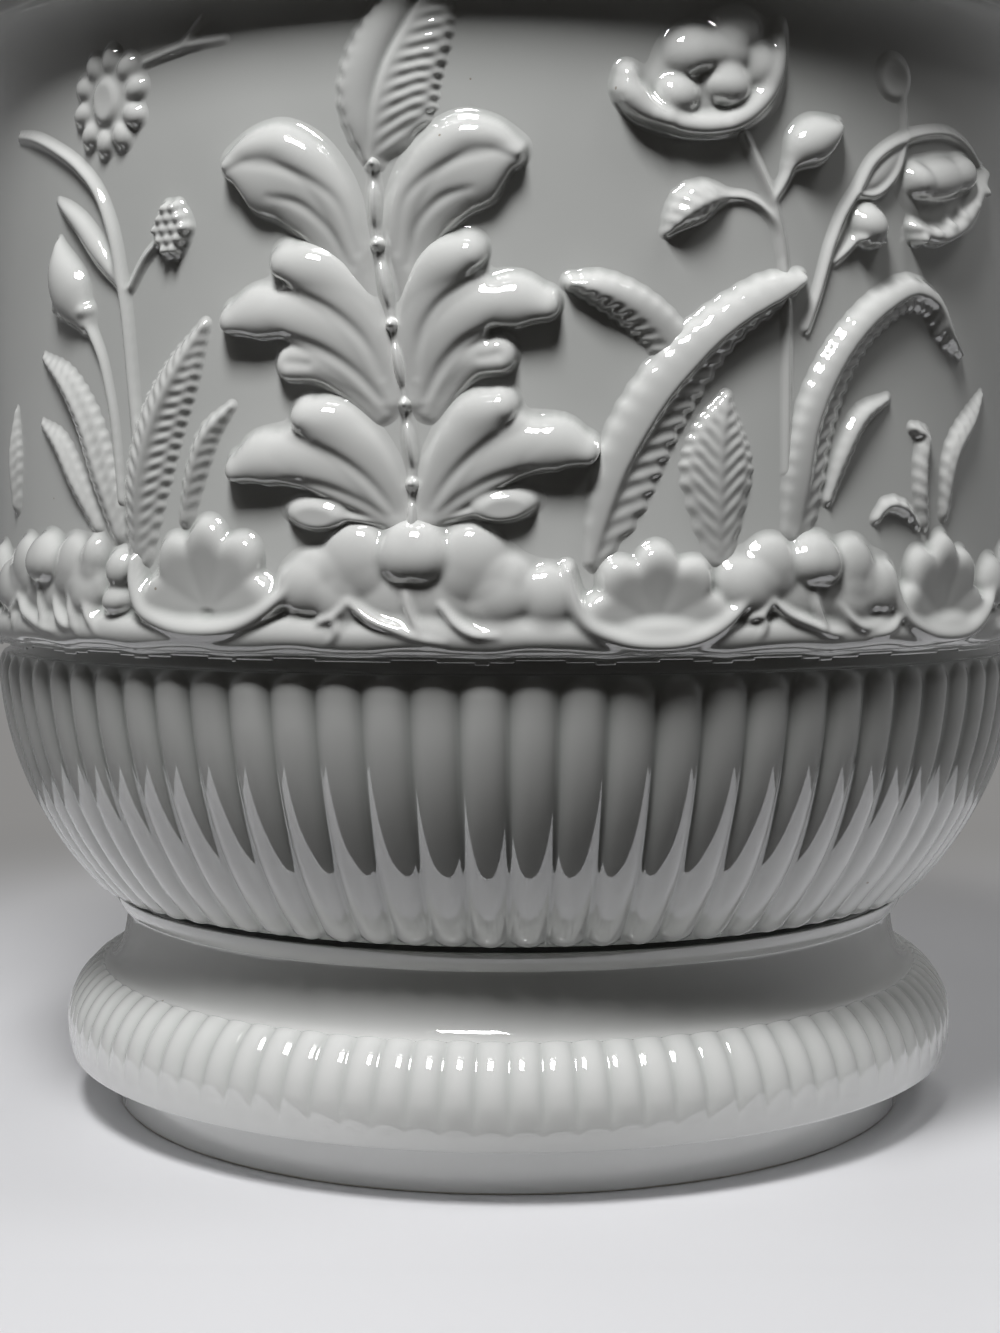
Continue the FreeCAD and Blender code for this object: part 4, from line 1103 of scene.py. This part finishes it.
# %% [markdown]
# ## The shell border
# A bank of rocaille runs round the foot of the wall and hides the ledge. Shells open out of it like
# fans over a thick lip. Between them hang rosettes with a domed middle petal, and thin scrolls flow
# away below. Flames and knolls fill the rest.

# %% Border
BANK_MIDDLE, BANK_UP, BANK_DOWN, BANK_RISE = 136.4, 4.0, 4.4, 3.9
BANK_STEPS, BANK_WAVES = 36, 11
WAVE_UP, WAVE_DOWN, WAVE_RISE = 0.6, 0.5, 0.2
SHELLS = ((-70.5, 141.0, 19.0, 21.6), (32.6, 138.6, 17.8, 18.2), (114.0, 139.0, 18.4, 20.4))
ROSETTES = ((-20.8, 154.1, 1.0), (71.5, 152.6, 0.86), (-126.5, 152.8, 0.9))
KNOLLS = (
    (-46.5, 146.5, 6.4, 6.4, 4.2), (8.5, 144.5, 6.4, 7.4, 4.4), (55, 146.5, 6.4, 7, 4.4),
    (92, 146, 5.4, 7, 4.2), (139, 147, 7, 7, 4.4), (150, 149, 7, 8, 4.4), (-150, 146, 7, 7, 4.2),
    (-98, 143.5, 4.6, 3.8, 4.6), (-97, 150.6, 4.2, 5, 4.4), (-106.4, 153.5, 3.8, 5.4, 3.8),
    (-38, 143, 6, 6, 3.6), (-2, 143, 7, 6, 3.6), (82, 143, 7, 6, 3.6), (-110, 143.5, 6, 6, 3.6),
    (-143, 143, 7, 6, 3.6),
)
FLAMES = (
    ((-108.5, 145, 0.7, 3.6), (-106, 140.5, 1.6, 5), (-102.5, 136, 0.9, 4.4)),
    ((-114.5, 145, 0.7, 3.6), (-112.5, 140.5, 1.6, 5), (-110, 135.8, 0.9, 4.4)),
    ((96, 141, 0.9, 4.6), (92.5, 137.5, 1.4, 5), (86, 136, 1, 4.6)),
    ((148, 141, 0.9, 4.6), (144, 137.5, 1.4, 5), (138, 136, 1, 4.6)),
)
LIP_ROWS = (
    (-1.12, 12.4, 1.4, 3.4), (-1.08, 7.6, 2, 4.4), (-0.94, 1.6, 2.5, 5), (-0.52, -2.4, 2.7, 5.2),
    (0.0, -3.6, 2.7, 5.2), (0.52, -2.2, 2.7, 5.2), (0.9, 1.8, 2.4, 5), (1.12, 5.6, 1.7, 4.4),
    (1.24, 9.4, 1.0, 3.4),
)
WINGS = (
    ((0, -9), (21, 8), 2.9, 0), ((-22, -6), (7.4, 7.4), 3.7, 10), ((-13.2, -1.2), (7.8, 8), 4, 12),
    ((12.6, -1.6), (8, 8.2), 4, -12), ((20.4, -7), (6.4, 7.2), 3.7, -10),
)
SCROLLS = (
    ((-14.2, -9.6, 1.0, 4), (-9.8, -13.2, 1.5, 5), (-2.8, -16, 1.5, 5.2), (2, -17.8, 1.2, 5),
     (7.4, -18.8, 0.8, 4.4)),
    ((-1.5, -7.6, 0.9, 4), (-0.4, -12.3, 1.1, 4.8), (1.8, -16.4, 0.9, 4.8)),
    ((6.2, -10.6, 0.9, 4), (9.5, -14.6, 1.4, 5), (12.9, -16.7, 1.4, 5), (18.4, -17.2, 0.9, 4.4)),
    ((-14, -9.6, 0.9, 4), (-17.4, -13.2, 1.2, 4.8), (-21.3, -14.5, 0.7, 4.4)),
    ((-17.4, -13.2, 0.9, 4.6), (-16.6, -16.4, 1.2, 5), (-18.4, -19, 0.7, 4.2)),
)
CAP = (((0, 0.8), (7.8, 6.8), 5.6, 0), ((-2.2, -0.6), (5.8, 6), 5.5, 0), ((2.2, -0.6), (5.8, 6), 5.5, 0))

border = Relief("shell_border", droop=0.22, grid=0.5)


def rosette_domes(parts, power, soft):
    """The same domes on every rosette. Parts: offset, radii, rise and turn."""
    for middle, up, size in ROSETTES:
        for (right, above), (half, tall), rise, turn in parts:
            centre = (middle + size * right, up + size * above)
            border.dome(centre, (size * half, size * tall), rise, power, turn, soft=soft)


bank = []
for across in np.linspace(-PANEL_WIDTH / 2, PANEL_WIDTH / 2, BANK_STEPS):
    wave = math.sin(across * 2 * math.pi * BANK_WAVES / PANEL_WIDTH)
    above, below = BANK_UP + WAVE_UP * wave, BANK_DOWN - WAVE_DOWN * wave
    bank.append((across, BANK_MIDDLE, above, below, BANK_RISE + WAVE_RISE * wave))
border.ridge(bank, soft=1.5)
for across, up, half, tall, rise in KNOLLS:
    border.dome((across, up), (half, tall), rise, soft=2.4)
rosette_domes(WINGS, 0.5, 2.8)
for rows in FLAMES:
    border.ridge(rows)
for middle, hinge, half, tall in SHELLS:
    border.fan((middle, hinge), half, tall)
    border.ridge([(middle + share * half, hinge + up, width, rise) for share, up, width, rise in LIP_ROWS])
rosette_domes(CAP, 0.45, 1.6)
for middle, up, size in ROSETTES:
    for rows in SCROLLS:
        border.ridge([(middle + size * x, up + size * y, half, rise) for x, y, half, rise in rows], soft=0.6)
border.place()

# %% [markdown]
# ## Stage
# The pot stands on a plain pale floor in a dim room, with one soft light in front of it and above, and
# weak lights at the sides and behind. The wall mirrors the dark room. The lower bowl mirrors the floor,
# up to its front edge. Away from the pot the floor's colour is painted darker, a painted falloff of the
# light, and far from it the floor fades into the background.

# %% Floor
FLOOR_COLOUR = (0.79, 0.79, 0.81, 1.0)
FLOOR_SHADE = (0.76, 0.76, 0.78, 1.0)
# FLOOR_DIM is the floor's colour away from the pot, painted darker as a painted falloff of the light.
FLOOR_DIM = (0.33, 0.325, 0.32, 1.0)
FLOOR_FRONT, FLOOR_LIT_FRONT, FLOOR_BACK, FLOOR_HALF = -0.161, -0.140, 0.21, 0.28
FLOOR_FAR, FLOOR_DROP = 4.0, 0.02 * MM
FLOOR_ROUGHNESS, MOTTLE_SCALE = 0.5, 6.0
LIT_RADIUS, DIM_RADIUS = 0.24, 0.62
BACKGROUND = (0.26, 0.255, 0.25, 1.0)

floor_material = bpy.data.materials.new("floor")
floor_material.use_nodes = True
floor_material.node_tree.nodes.clear()
paint = Wire(floor_material.node_tree)
where = paint.node("ShaderNodeTexCoord", {}, {}, "Object")
mottle = paint.node("ShaderNodeTexNoise", {}, {"Vector": where, "Scale": MOTTLE_SCALE}, "Fac")
away = paint.node("ShaderNodeVectorMath", {"operation": "LENGTH"}, {0: where}, "Value")
dimmed = paint.node(
    "ShaderNodeMapRange", {"interpolation_type": "SMOOTHSTEP"},
    {"Value": away, "From Min": LIT_RADIUS, "From Max": DIM_RADIUS},
)
# Painted falloff of the light: the floor's colour darkens from the lit middle towards FLOOR_DIM away from
# the pot.
floor_paint = mixed(dimmed, mixed(mottle, FLOOR_COLOUR, FLOOR_SHADE), FLOOR_DIM)
pale = paint.node("ShaderNodeBsdfPrincipled", {}, {"Base Color": floor_paint, "Roughness": FLOOR_ROUGHNESS})
haze = paint.node("ShaderNodeEmission", {}, {"Color": BACKGROUND, "Strength": 1.0})
looked_at = paint.node("ShaderNodeLightPath", {}, {}, "Is Camera Ray")
ground = paint.node("ShaderNodeMixShader", {}, {0: dimmed * looked_at, 1: pale, 2: haze})
paint.node("ShaderNodeOutputMaterial", {}, {"Surface": ground})


def floor_sheet(name, half, front, back, up):
    """A flat stretch of floor."""
    sheet = bpy.data.meshes.new(name)
    corners = [(-half, front, up), (half, front, up), (half, back, up), (-half, back, up)]
    sheet.from_pydata(corners, [], [(0, 1, 2, 3)])
    sheet.materials.append(floor_material)
    holder = bpy.data.objects.new(name, sheet)
    bpy.context.scene.collection.objects.link(holder)
    return holder


floor_sheet("floor", FLOOR_HALF, FLOOR_LIT_FRONT, FLOOR_BACK, 0.0)
floor_front = floor_sheet("floor_front", FLOOR_HALF, FLOOR_FRONT, FLOOR_LIT_FRONT, 0.0)
floor_front.visible_diffuse = False
floor_around = floor_sheet("floor_around", FLOOR_FAR, -FLOOR_FAR, FLOOR_FAR, -FLOOR_DROP)
floor_around.visible_glossy = False
floor_around.visible_diffuse = False
print(f"floor: lit within {LIT_RADIUS} m, background beyond {DIM_RADIUS} m")

# %% Room
ROOM_DARK = (0.018, 0.017, 0.016, 1.0)
ROOM_PALE = (0.16, 0.16, 0.16, 1.0)
DARK_UNTIL, PALE_FROM = -0.4, 0.7

world = bpy.data.worlds.new("room")
bpy.context.scene.world = world
world.use_nodes = True
world.node_tree.nodes.clear()
air = Wire(world.node_tree)
ray = air.node("ShaderNodeTexCoord", {}, {}, "Generated")
towards_back = air.node("ShaderNodeSeparateXYZ", {}, {"Vector": ray}, "Y")
blend = air.node(
    "ShaderNodeMapRange", {}, {"Value": towards_back, "From Min": DARK_UNTIL, "From Max": PALE_FROM}
)
seen = air.node("ShaderNodeLightPath", {}, {}, "Is Camera Ray")
room = mixed(seen, mixed(blend, ROOM_DARK, ROOM_PALE), BACKGROUND)
shine = air.node("ShaderNodeBackground", {}, {"Color": room, "Strength": 1.0})
air.node("ShaderNodeOutputWorld", {}, {"Surface": shine})
print("room:", world.name)

# %% Lamps
# Each lamp has a place, a point that it faces, a size and a power.
LAMPS = {
    "key": ((-0.15, -0.61, 1.07), (0.0, -0.13, 0.1), 0.28, 11.8),
    "left_fill": ((-0.6, -0.3, 1.15), (0.0, 0.0, 0.2), 0.3, 0.6),
    "right_fill": ((0.6, -0.3, 1.15), (0.0, 0.0, 0.2), 0.3, 2.0),
    "back_fill": ((0.3, 0.9, 0.9), (0.0, 0.0, 0.2), 0.4, 2.5),
}


def lamp(name, place, aim, size, power):
    """A soft square lamp that faces a point. The glaze shows the image of the key alone."""
    light = bpy.data.lights.new(name, "AREA")
    light.size = size
    light.energy = power
    holder = bpy.data.objects.new(name, light)
    bpy.context.scene.collection.objects.link(holder)
    holder.location = place
    holder.rotation_euler = (Vector(aim) - Vector(place)).to_track_quat("-Z", "Y").to_euler()
    holder.visible_glossy = name == "key"


for name, (place, aim, size, power) in LAMPS.items():
    lamp(name, place, aim, size, power)
print("lamps:", list(LAMPS))
